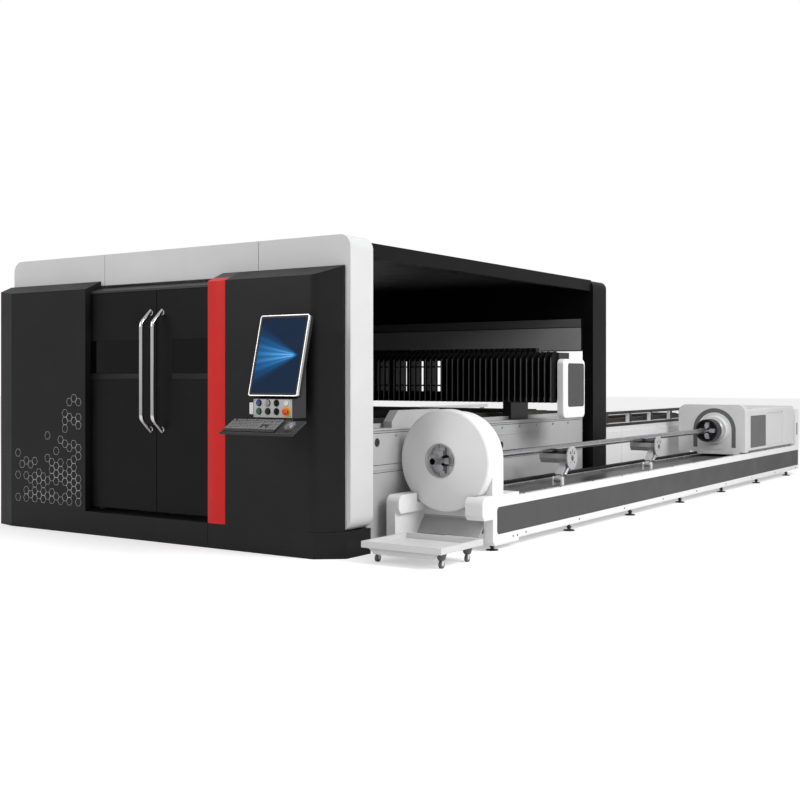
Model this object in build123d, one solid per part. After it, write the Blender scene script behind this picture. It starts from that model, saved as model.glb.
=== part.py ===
from build123d import *
import math
import os

# Fibre laser cutting machine with an enclosed sheet bed, a two-tier pallet changer behind it
# and a tube-cutting unit along its right side. Millimetres, +Z up, +Y from the operator's front
# towards the pallet changer. Sizes below are in the machine's own layout, whose zero is the
# right front edge of the light grey portal at floor level.

# Front portal and enclosure
portal_width = 3530.0
portal_depth = 265.0
portal_leg = 60.0
portal_radius = 90.0
portal_band = 245.0
portal_seam = 4.0
portal_seam_left = -2416.0
portal_seam_right = -816.0
machine_height = 2200.0
enclosure_length = 4260.0
roof_thickness = 45.0
roof_drop = 35.0
roof_inset = 30.0
roof_beam_height = 60.0
roof_beam_width = 60.0
wall_thickness = 30.0
rear_portal_depth = 310.0
rear_portal_leg = 110.0
rear_portal_inset = 10.0
rear_portal_radius = 70.0
exchange_opening_top = 1490.0
exchange_opening_bottom = 690.0
rear_header_height = 310.0
rear_header_relief = 15.0

# Front housings, doors and plinth
front_protrusion = 160.0
plinth_height = 180.0
plinth_side_inset = 20.0
housing_top_front = 1920.0
housing_top_rear = 1990.0
housing_skin = 55.0
pocket_margin = 12.0
left_box_right = -2460.0
left_box_overhang = 40.0
left_box_chamfer = 210.0
left_box_chamfer_depth = 55.0
cabinet_left = -985.0
cabinet_bend_width = 155.0
cabinet_bend_depth = 140.0
cabinet_edge_inset = 45.0
cabinet_bend_radius = 120.0
column_width = 168.0
column_bulge = 12.0
column_gap = 4.0
door_seam = -1735.0
door_gap = 6.0
door_width = 760.0
door_thickness = 40.0
door_bottom = 215.0
door_top = 1885.0
door_setback = 5.0
door_travel = 480.0
window_width = 455.0
window_seam_margin = 165.0
window_bottom = 1262.0
window_top = 1512.0
window_recess = 12.0
window_ledge = 40.0
handle_offset = 60.0
handle_radius = 16.0
handle_standoff = 100.0
handle_bottom = 821.0
handle_top = 1729.0
handle_bend = 95.0

# Sheet bed, gantry and pallets
bed_side_margin = 90.0
bed_front = 300.0
bed_rear_gap = 70.0
bed_height = 860.0
bed_wall_right = 250.0
bed_wall_left = 240.0
bed_end_wall = 100.0
bed_floor = 350.0
bed_lip = 12.0
bed_seam_height = 560.0
bed_port_radius = 32.0
bed_port_depth = 30.0
bed_ports = ((443.0, 762.0), (2275.0, 654.0))
bed_strip = (2187.0, 2966.0)
bed_strip_low = 744.0
bed_strip_height = 8.0
bed_strip_thickness = 3.0
bracket_steps = ((640.0, 45.0), (720.0, 125.0), (1290.0, 125.0), (1330.0, 80.0), (1560.0, 80.0))
bracket_inset = 8.0
bracket_width = 74.0
bracket_skin = 12.0
bracket_hollow = (820.0, 1180.0)
bracket_hollow_rise = (30.0, 85.0)
rail_width = 34.0
rail_height = 30.0
rail_inset = 125.0
gantry_centre = 2700.0
gantry_depth = 200.0
gantry_bottom = 1040.0
gantry_top = 1440.0
gantry_right = 285.0
gantry_chord = 60.0
gantry_window_margin = 40.0
gantry_window_span = 730.0
gantry_window_post = 30.0
gantry_drive_length = 300.0
gantry_drive_depth = 220.0
saddle_reach = 120.0
saddle_half = 40.0
bellows_right = 270.0
bellows_length = 1910.0
bellows_pitch = 57.0
bellows_plate = 7.0
bellows_depth = 118.0
bellows_bottom = 1012.0
bellows_top = 1446.0
bellows_chamfer = 55.0
end_cap_width = 60.0
end_cap_length = 424.0
end_cap_bottom = 880.0
end_cap_height = 505.0
end_cap_inset_length = 322.0
end_cap_inset_height = 374.0
end_cap_inset_shift = 30.0
head_x = -2200.0
carriage_width = 240.0
carriage_depth = 120.0
carriage_height = 430.0
head_width = 150.0
head_depth = 95.0
nozzle_tip = 985.0
pallet_end_gap = 180.0
pallet_front = 560.0
pallet_tube = 60.0
pallet_frame_height = 45.0
pallet_height = 58.0
slat_pitch = 157.0
slat_thickness = 8.0
pallet_side_gap = 40.0
runner_width = 60.0
upper_runner_top = 869.7
lower_runner_top = 741.7
exchange_gap = 40.0
exchange_end_gap = 10.0
exchange_panel = 40.0
exchange_panel_height = 640.0

# Operator station
monitor_width = 420.0
monitor_height = 560.0
monitor_thickness = 45.0
monitor_tilt = 14.0
monitor_bezel = 20.0
monitor_radius = 16.0
monitor_hinge_rise = 15.0
monitor_x = -350.0
monitor_y = -332.0
monitor_z = 1375.0
station_left = -520.0
station_right = -180.0
station_front = -395.0
station_back = -255.0
station_bottom = 957.0
station_shoulder = 1084.0
station_top = 1338.0
tray_width = 620.0
tray_depth = 190.0
tray_thickness = 12.0
tray_tilt = 30.0
tray_centre = -330.0
tray_hinge_y = -434.0
tray_hinge_z = 955.0
hinge_drop = 14.0
tray_lip = 7.0
tray_heel = 24.0
keyboard_width = 440.0
keyboard_depth = 145.0
control_columns = (-468.0, -391.0, -316.0, -232.0)
control_row_upper = 1056.0
control_row_lower = 1000.0
button_radius = 19.0
button_travel = 4.0
stem_radius = 9.0
stem_length = 16.0

# Tube-cutting unit
tube_axis_x = 300.0
tube_axis_z = 635.0
tube_radius = 27.0
tube_wall = 3.0
tube_front = 560.0
tube_bed_left = 5.0
tube_bed_right = 650.0
tube_bed_front = 1190.0
tube_bed_end = 8810.0
tube_bed_bottom = 62.0
tube_bed_deck = 330.0
tube_bed_rim = 370.0
tube_rim_width = 30.0
band_bottom = 115.0
band_top = 308.0
band_front = 862.0
band_depth = 8.0
foot_first = 880.0
foot_pitch = 1255.0
foot_count = 7
foot_radius = 46.0
foot_inset = 50.0
foot_rim = 7.0
foot_dish = 14.0
foot_shoulder_radius = 16.0
foot_neck_radius = 12.0
foot_neck_low = 16.0
foot_nut_radius = 21.0
foot_nut_low = 24.0
chuck_base_front = 803.0
chuck_base_top = 395.0
chuck_base_bottom = 38.0
bridge_bottom = 228.0
chute_setback = 30.0
chute_reach = 60.0
tower_right_width = 75.0
tower_left_width = 75.0
chuck_base_left = -15.0
left_tower_front = 450.0
shelf_front = 655.0
shelf_bottom = 228.0
shelf_width = 140.0
left_shelf_bottom = 264.0
left_shelf_width = 105.0
shelf_radius = 55.0
drum_slot = 8.0
bracket_front = 803.0
bracket_depth = 160.0
bracket_radius = 345.0
drum_radius = 365.0
drum_front = 720.0
drum_back = 796.0
cone_depth = 60.0
hub_radius = 118.0
chuck_bore = 48.0
jaw_width = 44.0
jaw_depth = 55.0
jaw_travel = 16.0
rear_hub_radius = 112.0
front_shaft_radius = 140.0
rear_plate_front = 6570.0
rear_plate_depth = 120.0
rear_plate_left = -120.0
rear_plate_top = 920.0
rear_plate_bottom = 385.0
rear_chuck_front = 6300.0
rear_chuck_radius = 126.0
rear_stripe_outer = 245.0
rear_stripe_width = 48.0
rear_cover_left = -20.0
rear_cover_top = 872.0
rear_cover_end = 8600.0
saddle_bottom = 361.0
saddle_top = 400.0
support_stations = (2530.0, 4490.0)
tie_inset_front = 210.0
tie_inset_rear = 180.0
tie_half = 70.0
support_x = 385.0
support_half = 132.0
support_disc_radius = 98.0
support_disc_drop = 30.0
support_arm_width = 60.0
support_arm_depth = 66.0
support_pivot_back = 150.0
support_pivot_z = 384.0
roller_waist = 24.0
roller_pin_radius = 8.0
roller_end = 40.0
bed_end_panel_front = 8660.0
bed_end_panel_top = 825.0
bed_end_slot = (500.0, 650.0)
roller_length = 220.0

# Scrap cart
cart_centre = 467.0
cart_width = 622.0
cart_front = -95.0
cart_length = 535.0
cart_rim_top = 145.0
cart_depth = 42.0
cart_sheet = 6.0
caster_radius = 25.0
caster_width = 18.0
caster_inset_x = 62.0
caster_inset_y = 105.0

# Clearances
joint_gap = 0.3
running_gap = 0.05

centre_x = (cart_centre + cart_width / 2 - portal_width - left_box_overhang) / 2
tray_slope = math.radians(tray_tilt)
tray_reach = tray_depth * math.cos(tray_slope) + tray_lip * math.sin(tray_slope)
centre_y = (tube_bed_end + tray_hinge_y - tray_reach) / 2

door_front = -front_protrusion + housing_skin + door_setback
door_back = door_front + door_thickness
bed_right = -bed_side_margin
bed_left = bed_side_margin - portal_width
rear_portal_front = enclosure_length - rear_portal_depth
bed_back = rear_portal_front - bed_rear_gap
cavity_right = bed_right - bed_wall_right
cavity_left = bed_left + bed_wall_left
pallet_left = cavity_left + pallet_side_gap
pallet_right = cavity_right - pallet_side_gap
rail_right_x = bed_right - rail_inset
rail_left_x = bed_left + rail_inset
gantry_front = gantry_centre - gantry_depth / 2
gantry_back = gantry_centre + gantry_depth / 2
gantry_left = rail_left_x - rail_inset / 2
pallet_length = bed_back - pallet_end_gap - pallet_front
exchange_front = enclosure_length + exchange_gap
exchange_length = pallet_length + exchange_end_gap
tie_first = tube_bed_front + tie_inset_front
tie_last = bed_back - tie_inset_rear
roof_top = machine_height - roof_drop
cabinet_right = -cabinet_edge_inset
column_left = cabinet_left - column_gap - column_width


def block(x0, x1, y0, y1, z0, z1):
    """A box between two opposite corners."""
    size = Box(x1 - x0, y1 - y0, z1 - z0)
    return Pos((x0 + x1) / 2, (y0 + y1) / 2, (z0 + z1) / 2) * size


def prism_x(outline, x0, x1):
    """A (y, z) outline, as points or a sketch, carried along X."""
    plane = Plane(origin=(x0, 0, 0), x_dir=(0, 1, 0), z_dir=(1, 0, 0))
    face = make_face(Polyline(*outline, close=True)) if isinstance(outline, tuple) else outline
    return extrude(plane * face, amount=x1 - x0)


def prism_y(outline, y0, y1):
    """An (x, z) outline, as points or a sketch, carried along Y."""
    plane = Plane(origin=(0, y1, 0), x_dir=(1, 0, 0), z_dir=(0, -1, 0))
    face = make_face(Polyline(*outline, close=True)) if isinstance(outline, tuple) else outline
    return extrude(plane * face, amount=y1 - y0)


def prism_z(outline, z0, z1):
    """An (x, y) outline, as points or a sketch, carried along Z."""
    face = make_face(Polyline(*outline, close=True)) if isinstance(outline, tuple) else outline
    return extrude(Plane.XY.offset(z0) * face, amount=z1 - z0)


def rod_x(radius, x0, x1, y, z):
    """A round bar along X."""
    return Pos((x0 + x1) / 2, y, z) * Rot(0, 90, 0) * Cylinder(radius, x1 - x0)


def rod_y(radius, y0, y1, x, z):
    """A round bar along Y."""
    return Pos(x, (y0 + y1) / 2, z) * Rot(90, 0, 0) * Cylinder(radius, y1 - y0)


def rod_z(radius, z0, z1, x, y):
    """A round bar along Z."""
    return Pos(x, y, (z0 + z1) / 2) * Cylinder(radius, z1 - z0)


def turned_y(outline, x, z):
    """A (radius, y) outline turned about an axis along Y through (x, z)."""
    face = make_face(Polyline(*outline, close=True))
    return Pos(x, 0, z) * revolve(face, Axis.Y)


def sloped_top(y0, y1):
    """The wedge that is cut away above the front housings' sloping tops."""
    rise = (housing_top_rear - housing_top_front) / front_protrusion
    low = housing_top_front + rise * (y0 + front_protrusion)
    high = housing_top_front + rise * (y1 + front_protrusion)
    return ((y0, low), (y1, high), (y1, machine_height), (y0, machine_height))


# Portal, plinth and enclosure

def portal_frame():
    """Three light grey panels: left and right ones fold down the sides, the middle is a lintel."""
    outer = Pos(-portal_width / 2, (plinth_height + machine_height) / 2) * RectangleRounded(
        portal_width, machine_height - plinth_height, portal_radius)
    frame = prism_y(outer, 0, portal_depth)
    frame -= block(-portal_width + portal_leg, -portal_leg, -1, portal_depth + 1,
                   plinth_height - 1, machine_height - portal_band)
    for seam in (portal_seam_left, portal_seam_right):
        frame -= block(seam - portal_seam / 2, seam + portal_seam / 2, -1, portal_depth + 1,
                       machine_height - portal_band - 1, machine_height + 1)
    return frame


def base_plinth():
    """The black skirt under the doors, the column and the control cabinet."""
    right = -plinth_side_inset
    outline = Polyline((left_box_right, -front_protrusion),
                       (right - cabinet_bend_width - plinth_side_inset, -front_protrusion),
                       (right, -plinth_side_inset), (right, portal_depth),
                       (left_box_right, portal_depth), close=True)
    skirt = prism_z(make_face(outline), 0, plinth_height)
    seam = column_left
    skirt -= block(seam - 2, seam + 2, -front_protrusion - 1, -front_protrusion + 4, -1, plinth_height + 1)
    return skirt


def left_box():
    """The tall black box at the left, with the pocket that the left door slides into."""
    left = -portal_width - left_box_overhang
    bend = left + left_box_chamfer
    outline = ((left_box_right, -front_protrusion), (bend, -front_protrusion),
               (left, -front_protrusion + left_box_chamfer_depth), (left, 0), (left_box_right, 0))
    box = prism_z(outline, 0, machine_height)
    box -= prism_x(sloped_top(-front_protrusion - 1, 1), left - 1, left_box_right + 1)
    pocket_end = door_seam - door_gap / 2 - door_width - door_travel - pocket_margin
    box -= block(pocket_end, left_box_right + 1, door_front - door_setback, door_back + pocket_margin,
                 door_bottom - pocket_margin, door_top + joint_gap)
    return box


def control_cabinet():
    """The right-hand black cabinet with its wide bend, and the right door's pocket behind its skin."""
    bend = cabinet_right - cabinet_bend_width
    outline = Polyline((cabinet_left, -front_protrusion), (bend, -front_protrusion),
                       (cabinet_right, cabinet_bend_depth - front_protrusion), (cabinet_right, 0),
                       (cabinet_left, 0), close=True)
    face = make_face(outline)
    corner = face.vertices().sort_by_distance((bend, -front_protrusion, 0))[0]
    box = prism_z(fillet(corner, cabinet_bend_radius), plinth_height, machine_height)
    box -= prism_x(sloped_top(-front_protrusion - 1, 1), cabinet_left - 1, cabinet_right + 1)
    pocket_end = door_seam + door_gap / 2 + door_width + door_travel + pocket_margin
    box -= block(cabinet_left - 1, pocket_end, door_front - door_setback, door_back + pocket_margin,
                 door_bottom - pocket_margin, door_top + joint_gap)
    for x, z in control_neck_bolts():
        box -= rod_y(6, -front_protrusion - 1, -front_protrusion + 25, x, z)
    return box


def control_neck_bolts():
    """Places of the four bolts that hold the operator station's neck to the cabinet."""
    middle = (station_left + station_right) / 2
    return [(middle + dx, z) for dx in (-60, 60) for z in (1040, 1260)]


def red_column():
    """The rounded red column between the doors and the control cabinet."""
    right = cabinet_left - column_gap
    flat = -front_protrusion
    back = flat + housing_skin
    middle = (column_left + right) / 2
    rim = Polyline((column_left, flat), (column_left, back), (right, back), (right, flat))
    bow = ThreePointArc((column_left, flat), (middle, flat - column_bulge), (right, flat))
    column = prism_z(make_face([rim, bow]), plinth_height, machine_height)
    column -= prism_x(sloped_top(flat - column_bulge - 1, back + 1), column_left - 1, right + 1)
    return column


def door_header():
    """The sloping ledge over the doors, with the cap that closes the column's top."""
    back = -joint_gap - 9
    low = door_top + joint_gap
    front = -front_protrusion + housing_skin
    ledge = ((front, low), (front, low + 15), (back, low + 47), (back, low))
    header = prism_x(ledge, left_box_right, cabinet_left)
    cap = prism_x(((front, low), (0, low), (0, machine_height), (front, machine_height)),
                  column_left, cabinet_left)
    cap -= prism_x(sloped_top(front - 1, 1), column_left - 1, cabinet_left + 1)
    return header + cap


def enclosure_panels():
    """The black roof with its two side beams, and the plain left wall under it."""
    left = -portal_width + roof_inset
    right = -roof_inset
    low = roof_top - roof_thickness
    roof = block(left, right, portal_depth, rear_portal_front, low, roof_top)
    roof += block(right - roof_beam_width, right, portal_depth, rear_portal_front,
                  low - roof_beam_height, low)
    roof += block(left, left + roof_beam_width, portal_depth, rear_portal_front,
                  low - roof_beam_height, low)
    wall = block(left, left + wall_thickness, portal_depth, rear_portal_front, plinth_height,
                 low - roof_beam_height)
    rib_low = plinth_height
    for y in (portal_depth, rear_portal_front - roof_beam_width):
        wall += block(left + wall_thickness, left + roof_beam_width, y, y + roof_beam_width,
                      rib_low, low - roof_beam_height)
    return Compound(children=[roof, wall])


def rear_portal():
    """The black arch at the back, with the opening that the pallets pass through."""
    width = portal_width - 2 * rear_portal_inset
    outer = Pos(-portal_width / 2, roof_top / 2) * Rectangle(width, roof_top)
    corners = outer.vertices().group_by(Axis.Y)[-1]
    arch = prism_y(fillet(corners, rear_portal_radius), rear_portal_front, enclosure_length)
    left = -portal_width + rear_portal_inset + rear_portal_leg
    right = -rear_portal_inset - rear_portal_leg
    arch -= block(left, right, rear_portal_front - 1, enclosure_length + 1,
                  exchange_opening_bottom, exchange_opening_top)
    arch -= block(left, right, rear_portal_front - 1, enclosure_length + 1, -1, plinth_height)
    arch += block(left, right, rear_portal_front - rear_header_relief, rear_portal_front,
                  exchange_opening_top, exchange_opening_top + rear_header_height)
    return arch


# Doors

def door(side):
    """One sliding door with its recessed window band; side is -1 for left and 1 for right."""
    inner = door_seam + side * door_gap / 2
    outer = inner + side * door_width
    panel = block(min(inner, outer), max(inner, outer), door_front, door_back, door_bottom, door_top)
    near = inner + side * window_seam_margin
    far = near + side * window_width
    x0, x1 = min(near, far), max(near, far)
    panel -= block(x0, x1, door_front - 1, door_front + window_recess, window_bottom, window_top)
    ledge = ((door_front + window_recess, window_bottom), (door_front, window_bottom),
             (door_front + window_recess, window_bottom + window_ledge))
    panel += prism_x(ledge, x0, x1)
    return panel


def door_handle(side):
    """A long bow handle whose ends bend back to the door."""
    x = door_seam + side * handle_offset
    out = door_front - handle_standoff
    route = FilletPolyline((x, door_front, handle_bottom), (x, out, handle_bottom + handle_bend),
                           (x, out, handle_top - handle_bend), (x, door_front, handle_top),
                           radius=handle_bend * 0.7)
    start = Plane(origin=route @ 0, z_dir=route % 0)
    bow = sweep(start * Circle(handle_radius), path=route)
    bow -= block(x - 99, x + 99, door_front, door_front + 99, handle_bottom - 99, handle_top + 99)
    return bow


# Sheet bed, pallets and gantry

def sheet_bed():
    """The welded bed: two box walls with rails on top, end walls, floor and the pallet runners."""
    bed = block(bed_left, bed_right, bed_front, bed_back, 0, bed_height)
    bed -= block(cavity_left, cavity_right, bed_front + bed_end_wall, bed_back - bed_end_wall,
                 bed_floor, bed_height + 1)
    bed -= block(cavity_left, cavity_right, bed_back - bed_end_wall - 1, bed_back + 1,
                 exchange_opening_bottom, bed_height + 1)
    bed += block(bed_right - 1, bed_right + bed_lip, bed_front, bed_back, bed_height - 12, bed_height)
    for top in (upper_runner_top, lower_runner_top):
        bed += block(cavity_right - runner_width, cavity_right, bed_front + bed_end_wall, bed_back,
                     top - 40, top)
        bed += block(cavity_left, cavity_left + runner_width, bed_front + bed_end_wall, bed_back,
                     top - 40, top)
    for x in (rail_left_x, rail_right_x):
        bed += block(x - rail_width / 2, x + rail_width / 2, bed_front + 20, bed_back - 20,
                     bed_height, bed_height + rail_height)
    bed -= block(bed_right - 4, bed_right + 1, bed_front - 1, bed_front + 700,
                 bed_seam_height - 2, bed_seam_height + 2)
    for y, z in bed_ports:
        bed -= rod_x(bed_port_radius, bed_right - bed_port_depth, bed_right + 1, y, z)
    bed += block(bed_right, bed_right + bed_strip_thickness, *bed_strip, bed_strip_low,
                 bed_strip_low + bed_strip_height)
    bed += side_bracket()
    for y in (tie_first, (tie_first + tie_last) / 2, tie_last):
        bed += block(bed_right - 1, tube_bed_left, y - tie_half, y + tie_half, 150, 290)
    return bed


def side_bracket():
    """The stepped light grey bracket that stands on the right wall beside the rail."""
    steps = tuple((y, bed_height + rise) for y, rise in bracket_steps)
    outline = ((steps[0][0], bed_height),) + steps + ((steps[-1][0], bed_height),)
    right = bed_right - bracket_inset
    left = right - bracket_width
    bracket = prism_x(outline, left, right)
    low, high = (bed_height + rise for rise in bracket_hollow_rise)
    bracket -= block(left - 1, right - bracket_skin, *bracket_hollow, low, high)
    return bracket


def pallet(bottom, front):
    """A pallet frame with its row of standing slats."""
    back = front + pallet_length
    frame = block(pallet_left, pallet_right, front, back, bottom, bottom + pallet_frame_height)
    frame -= block(pallet_left + pallet_tube, pallet_right - pallet_tube, front + pallet_tube,
                   back - pallet_tube, bottom - 1, bottom + pallet_height)
    count = int((pallet_length - 2 * pallet_tube) / slat_pitch)
    first = (front + back) / 2 - (count - 1) * slat_pitch / 2
    for index in range(count):
        y = first + index * slat_pitch
        frame += block(pallet_left + pallet_tube / 2, pallet_right - pallet_tube / 2,
                       y - slat_thickness / 2, y + slat_thickness / 2, bottom + 10,
                       bottom + pallet_height)
    return frame


def gantry_beam():
    """The cross beam: solid at the left, open behind the bellows, with a saddle at each end."""
    beam = block(gantry_left, gantry_right, gantry_front, gantry_back, gantry_bottom, gantry_top)
    window_left = bellows_right - bellows_length + gantry_window_margin
    window_right = window_left + gantry_window_span
    low = gantry_bottom + gantry_chord
    high = gantry_top - gantry_chord
    posts = 4
    step = (window_right - window_left) / posts
    for index in range(posts):
        x = window_left + index * step
        beam -= block(x, x + step - gantry_window_post, gantry_front - 1, gantry_back + 1, low, high)
    saddle_low = bed_height + joint_gap
    for x in (rail_left_x, rail_right_x):
        saddle = block(x - saddle_half, x + saddle_half, gantry_front, gantry_back + saddle_reach,
                       saddle_low, gantry_bottom)
        groove = rail_width / 2 + joint_gap
        saddle -= block(x - groove, x + groove, gantry_front - 1, gantry_back + saddle_reach + 1,
                        saddle_low - 1, bed_height + rail_height + joint_gap)
        beam += saddle
    beam += block(gantry_right - gantry_drive_length, gantry_right, gantry_back,
                  gantry_back + gantry_drive_depth, gantry_bottom + 20, gantry_top - gantry_chord)
    return beam


def bellows_cover():
    """The bellows of thin upright plates on a backing strip, open behind at the left."""
    left = bellows_right - bellows_length
    back = gantry_front
    front = back - bellows_depth
    cover = block(left, bellows_right, back - 8, back, bellows_bottom, gantry_bottom + gantry_chord)
    cover += block(left, bellows_right, back - 8, back, gantry_top - gantry_chord, bellows_top)
    count = int(bellows_length / bellows_pitch) + 1
    outline = ((front, bellows_bottom), (back - 4, bellows_bottom), (back - 4, bellows_top),
               (front + bellows_chamfer, bellows_top), (front, bellows_top - bellows_chamfer))
    for index in range(count):
        x = bellows_right - bellows_plate - index * bellows_pitch
        cover += prism_x(outline, x, x + bellows_plate)
    return cover


def gantry_end_cap():
    """The rounded white cover on the gantry's right end, with its recessed face."""
    front = gantry_front - 29
    centre_line = front + end_cap_length / 2
    middle = end_cap_bottom + end_cap_height / 2
    body = prism_x(Pos(centre_line, middle) * RectangleRounded(end_cap_length, end_cap_height, 48),
                   gantry_right, gantry_right + end_cap_width)
    edges = body.faces().sort_by(Axis.X)[-1].edges()
    body = fillet(edges, 12)
    inset = Pos(centre_line + end_cap_inset_shift, middle + end_cap_inset_shift) * RectangleRounded(
        end_cap_inset_length, end_cap_inset_height, 26)
    body -= prism_x(inset, gantry_right + end_cap_width - 5, gantry_right + end_cap_width + 1)
    return body


def head_carriage():
    """The plate that carries the cutting head along the beam, with its cover."""
    back = gantry_front - joint_gap
    x0, x1 = head_x - carriage_width / 2, head_x + carriage_width / 2
    low = gantry_bottom - 10
    body = block(x0, x1, back - carriage_depth, back, low, low + carriage_height)
    body -= block(x0 + 40, x1 - 40, back - carriage_depth - 1, back - carriage_depth + 26,
                  low - 1, low + carriage_height + 1)
    hook = block(x0, x1, back - 30, back + 60, gantry_top + joint_gap, low + carriage_height + 20)
    return body + hook


def laser_head():
    """The cutting head: housing, collimator barrel and the cone of the nozzle."""
    back = gantry_front - joint_gap - carriage_depth + 26 - joint_gap
    middle = back - head_depth / 2
    body = block(head_x - head_width / 2, head_x + head_width / 2, back - head_depth, back,
                 1110, 1400)
    barrel = turned_z(((0, nozzle_tip), (5, nozzle_tip), (9, nozzle_tip + 14), (22, nozzle_tip + 20),
                       (30, nozzle_tip + 60), (34, nozzle_tip + 62), (34, 1111), (0, 1111)),
                      head_x, middle)
    collimator = rod_z(36, 1399, 1540, head_x, middle)
    collimator += rod_z(24, 1539, 1590, head_x, middle)
    return body + barrel + collimator


def turned_z(outline, x, y):
    """A (radius, z) outline turned about an upright axis through (x, y)."""
    face = make_face(Plane.XZ * Polyline(*outline, close=True))
    return Pos(x, y, 0) * revolve(face, Axis.Z)


def exchange_base():
    """The pallet changer: two panelled sides, cross beams, and runners on two tiers."""
    back = exchange_front + exchange_length
    base = None
    for side in (-1, 1):
        inner = cavity_left if side < 0 else cavity_right
        outer = inner + side * exchange_panel
        x0, x1 = min(inner, outer), max(inner, outer)
        panel = block(x0, x1, exchange_front, back, 60, 60 + exchange_panel_height)
        skin = 4 if side > 0 else 0
        for index in range(3):
            y = exchange_front + 1020 * (index + 1)
            panel -= block(x1 - skin, x1 + 1, y - 3, y + 3, 59, 61 + exchange_panel_height)
        ledge0, ledge1 = min(inner, inner - side * runner_width), max(inner, inner - side * runner_width)
        panel += block(ledge0, ledge1, exchange_front, back, lower_runner_top - 60, lower_runner_top)
        panel += block(x0, x1, exchange_front, back, 60 + exchange_panel_height, lower_runner_top)
        panel += block(ledge0, ledge1, exchange_front, back, upper_runner_top - 40, upper_runner_top)
        for index in range(6):
            y = exchange_front + index * (exchange_length - 60) / 5
            panel += block(x0, x1, y, y + 60, lower_runner_top, upper_runner_top)
            panel += block(x0, x1, y, y + 60, 0, 60)
        panel += block(x0, x1, exchange_front, back, upper_runner_top - 40, upper_runner_top)
        panel += block(x0, x1, enclosure_length, exchange_front, 300, 500)
        base = panel if base is None else base + panel
    for y in (exchange_front, (exchange_front + back) / 2 - 60, back - 120):
        base += block(cavity_left - exchange_panel, cavity_right + exchange_panel, y, y + 120, 60, 200)
    return base


# Operator station

def station_hole(x, z):
    """The blind hole behind one push button, selector or switch."""
    return rod_y(stem_radius + running_gap, station_front - 1,
                 station_front + stem_length + button_travel + 2, x, z)


def control_box():
    """The operator station behind the monitor: its panel, the neck and the hinge post."""
    outline = ((station_back, station_bottom), (station_front, station_bottom),
               (station_front, station_shoulder), (station_front + 55, station_shoulder + 2),
               (station_back - 23, station_top), (station_back, station_top))
    box = prism_x(outline, station_left, station_right)
    middle = (station_left + station_right) / 2
    box += block(middle - 90, middle + 90, station_back, -front_protrusion, 1000, 1300)
    for x in control_columns:
        for z in (control_row_upper, control_row_lower):
            if (x, z) != (control_columns[3], control_row_upper):
                box -= station_hole(x, z)
    y, z = monitor_hinge()
    box += block(middle - 30, middle + 30, y - 10, station_back, station_top - 30, z)
    box += rod_x(14, middle - 30, middle + 30, y, z)
    box += rod_x(6, middle - 58, middle + 58, y, z)
    y, z = tray_hinge_y, tray_hinge_z - hinge_drop
    for x in (station_left + 30, station_right - 30):
        box += block(x - 8, x + 8, y - 7, station_front + 30, z - 7, z + 7)
        box += block(x - 8, x + 8, station_front, station_front + 30, z + 7, station_bottom)
    box += rod_x(5, station_left + 20, station_right - 20, y, z)
    return box


def monitor_hinge():
    """The monitor's tilt axis as (y, z), just behind its back."""
    angle = math.radians(monitor_tilt)
    back = monitor_thickness + 22
    return monitor_y + back * math.cos(angle), monitor_z - back * math.sin(angle) + monitor_hinge_rise


def monitor_place():
    """Carries a shape from the monitor's upright frame, front face at y = 0, to its tilt."""
    return Pos(monitor_x, monitor_y, monitor_z) * Rot(-monitor_tilt, 0, 0)


def monitor_housing():
    """The portrait monitor's housing with a recess for the screen and two hinge ears."""
    outline = RectangleRounded(monitor_width, monitor_height, monitor_radius)
    body = prism_y(outline, 0, monitor_thickness)
    inner = RectangleRounded(monitor_width - 2 * monitor_bezel, monitor_height - 2 * monitor_bezel, 4)
    body -= prism_y(inner, -1, 6)
    body = monitor_place() * body
    y, z = monitor_hinge()
    for side in (-1, 1):
        x = monitor_x + side * 44
        ear = monitor_place() * block(side * 44 - 10, side * 44 + 10, monitor_thickness - 1,
                                      monitor_thickness + 22, -14, 26)
        ear += rod_x(18, x - 10, x + 10, y, z)
        ear -= rod_x(6 + running_gap, x - 20, x + 20, y, z)
        body += ear
    return body


def monitor_screen():
    """The glass pane in the monitor's recess."""
    pane = RectangleRounded(monitor_width - 2 * monitor_bezel, monitor_height - 2 * monitor_bezel, 4)
    return monitor_place() * prism_y(pane, 2, 6)


def tray_place():
    """Carries a shape from the tray's level frame, rear edge at y = 0, to its slope."""
    return Pos(tray_centre, tray_hinge_y, tray_hinge_z) * Rot(tray_tilt, 0, 0)


def keyboard_tray():
    """The folding tray with a raised lip and two hinge knuckles."""
    half = tray_width / 2
    plate = block(-half, half, -tray_depth, -tray_heel, -tray_thickness, 0)
    plate += block(-half, half, -tray_depth, -tray_depth + 8, -tray_thickness, tray_lip)
    plate = tray_place() * plate
    middle = (station_left + station_right) / 2
    for side in (-1, 1):
        x = middle + side * 90
        knuckle = rod_x(10, x - 25, x + 25, tray_hinge_y, tray_hinge_z - hinge_drop)
        link = tray_place() * block(x - 25 - tray_centre, x + 25 - tray_centre, -tray_heel - 12, -8,
                                    -tray_thickness - 8, -tray_thickness + 4)
        knuckle += link
        knuckle -= rod_x(5 + running_gap, x - 26, x + 26, tray_hinge_y, tray_hinge_z - hinge_drop)
        plate += knuckle
    return plate


def keyboard():
    """The keyboard as one moulded wedge with rows of key blocks."""
    left = -tray_width / 2 + 18
    body = block(left, left + keyboard_width, -tray_depth + 12, -tray_depth + 12 + keyboard_depth, 0, 14)
    rows = 5
    row_pitch = (keyboard_depth - 20) / rows
    for row in range(rows):
        y0 = -tray_depth + 22 + row * row_pitch
        body += block(left + 10, left + keyboard_width - 10, y0 + 2, y0 + row_pitch - 2, 13, 20)
    return tray_place() * body


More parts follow.
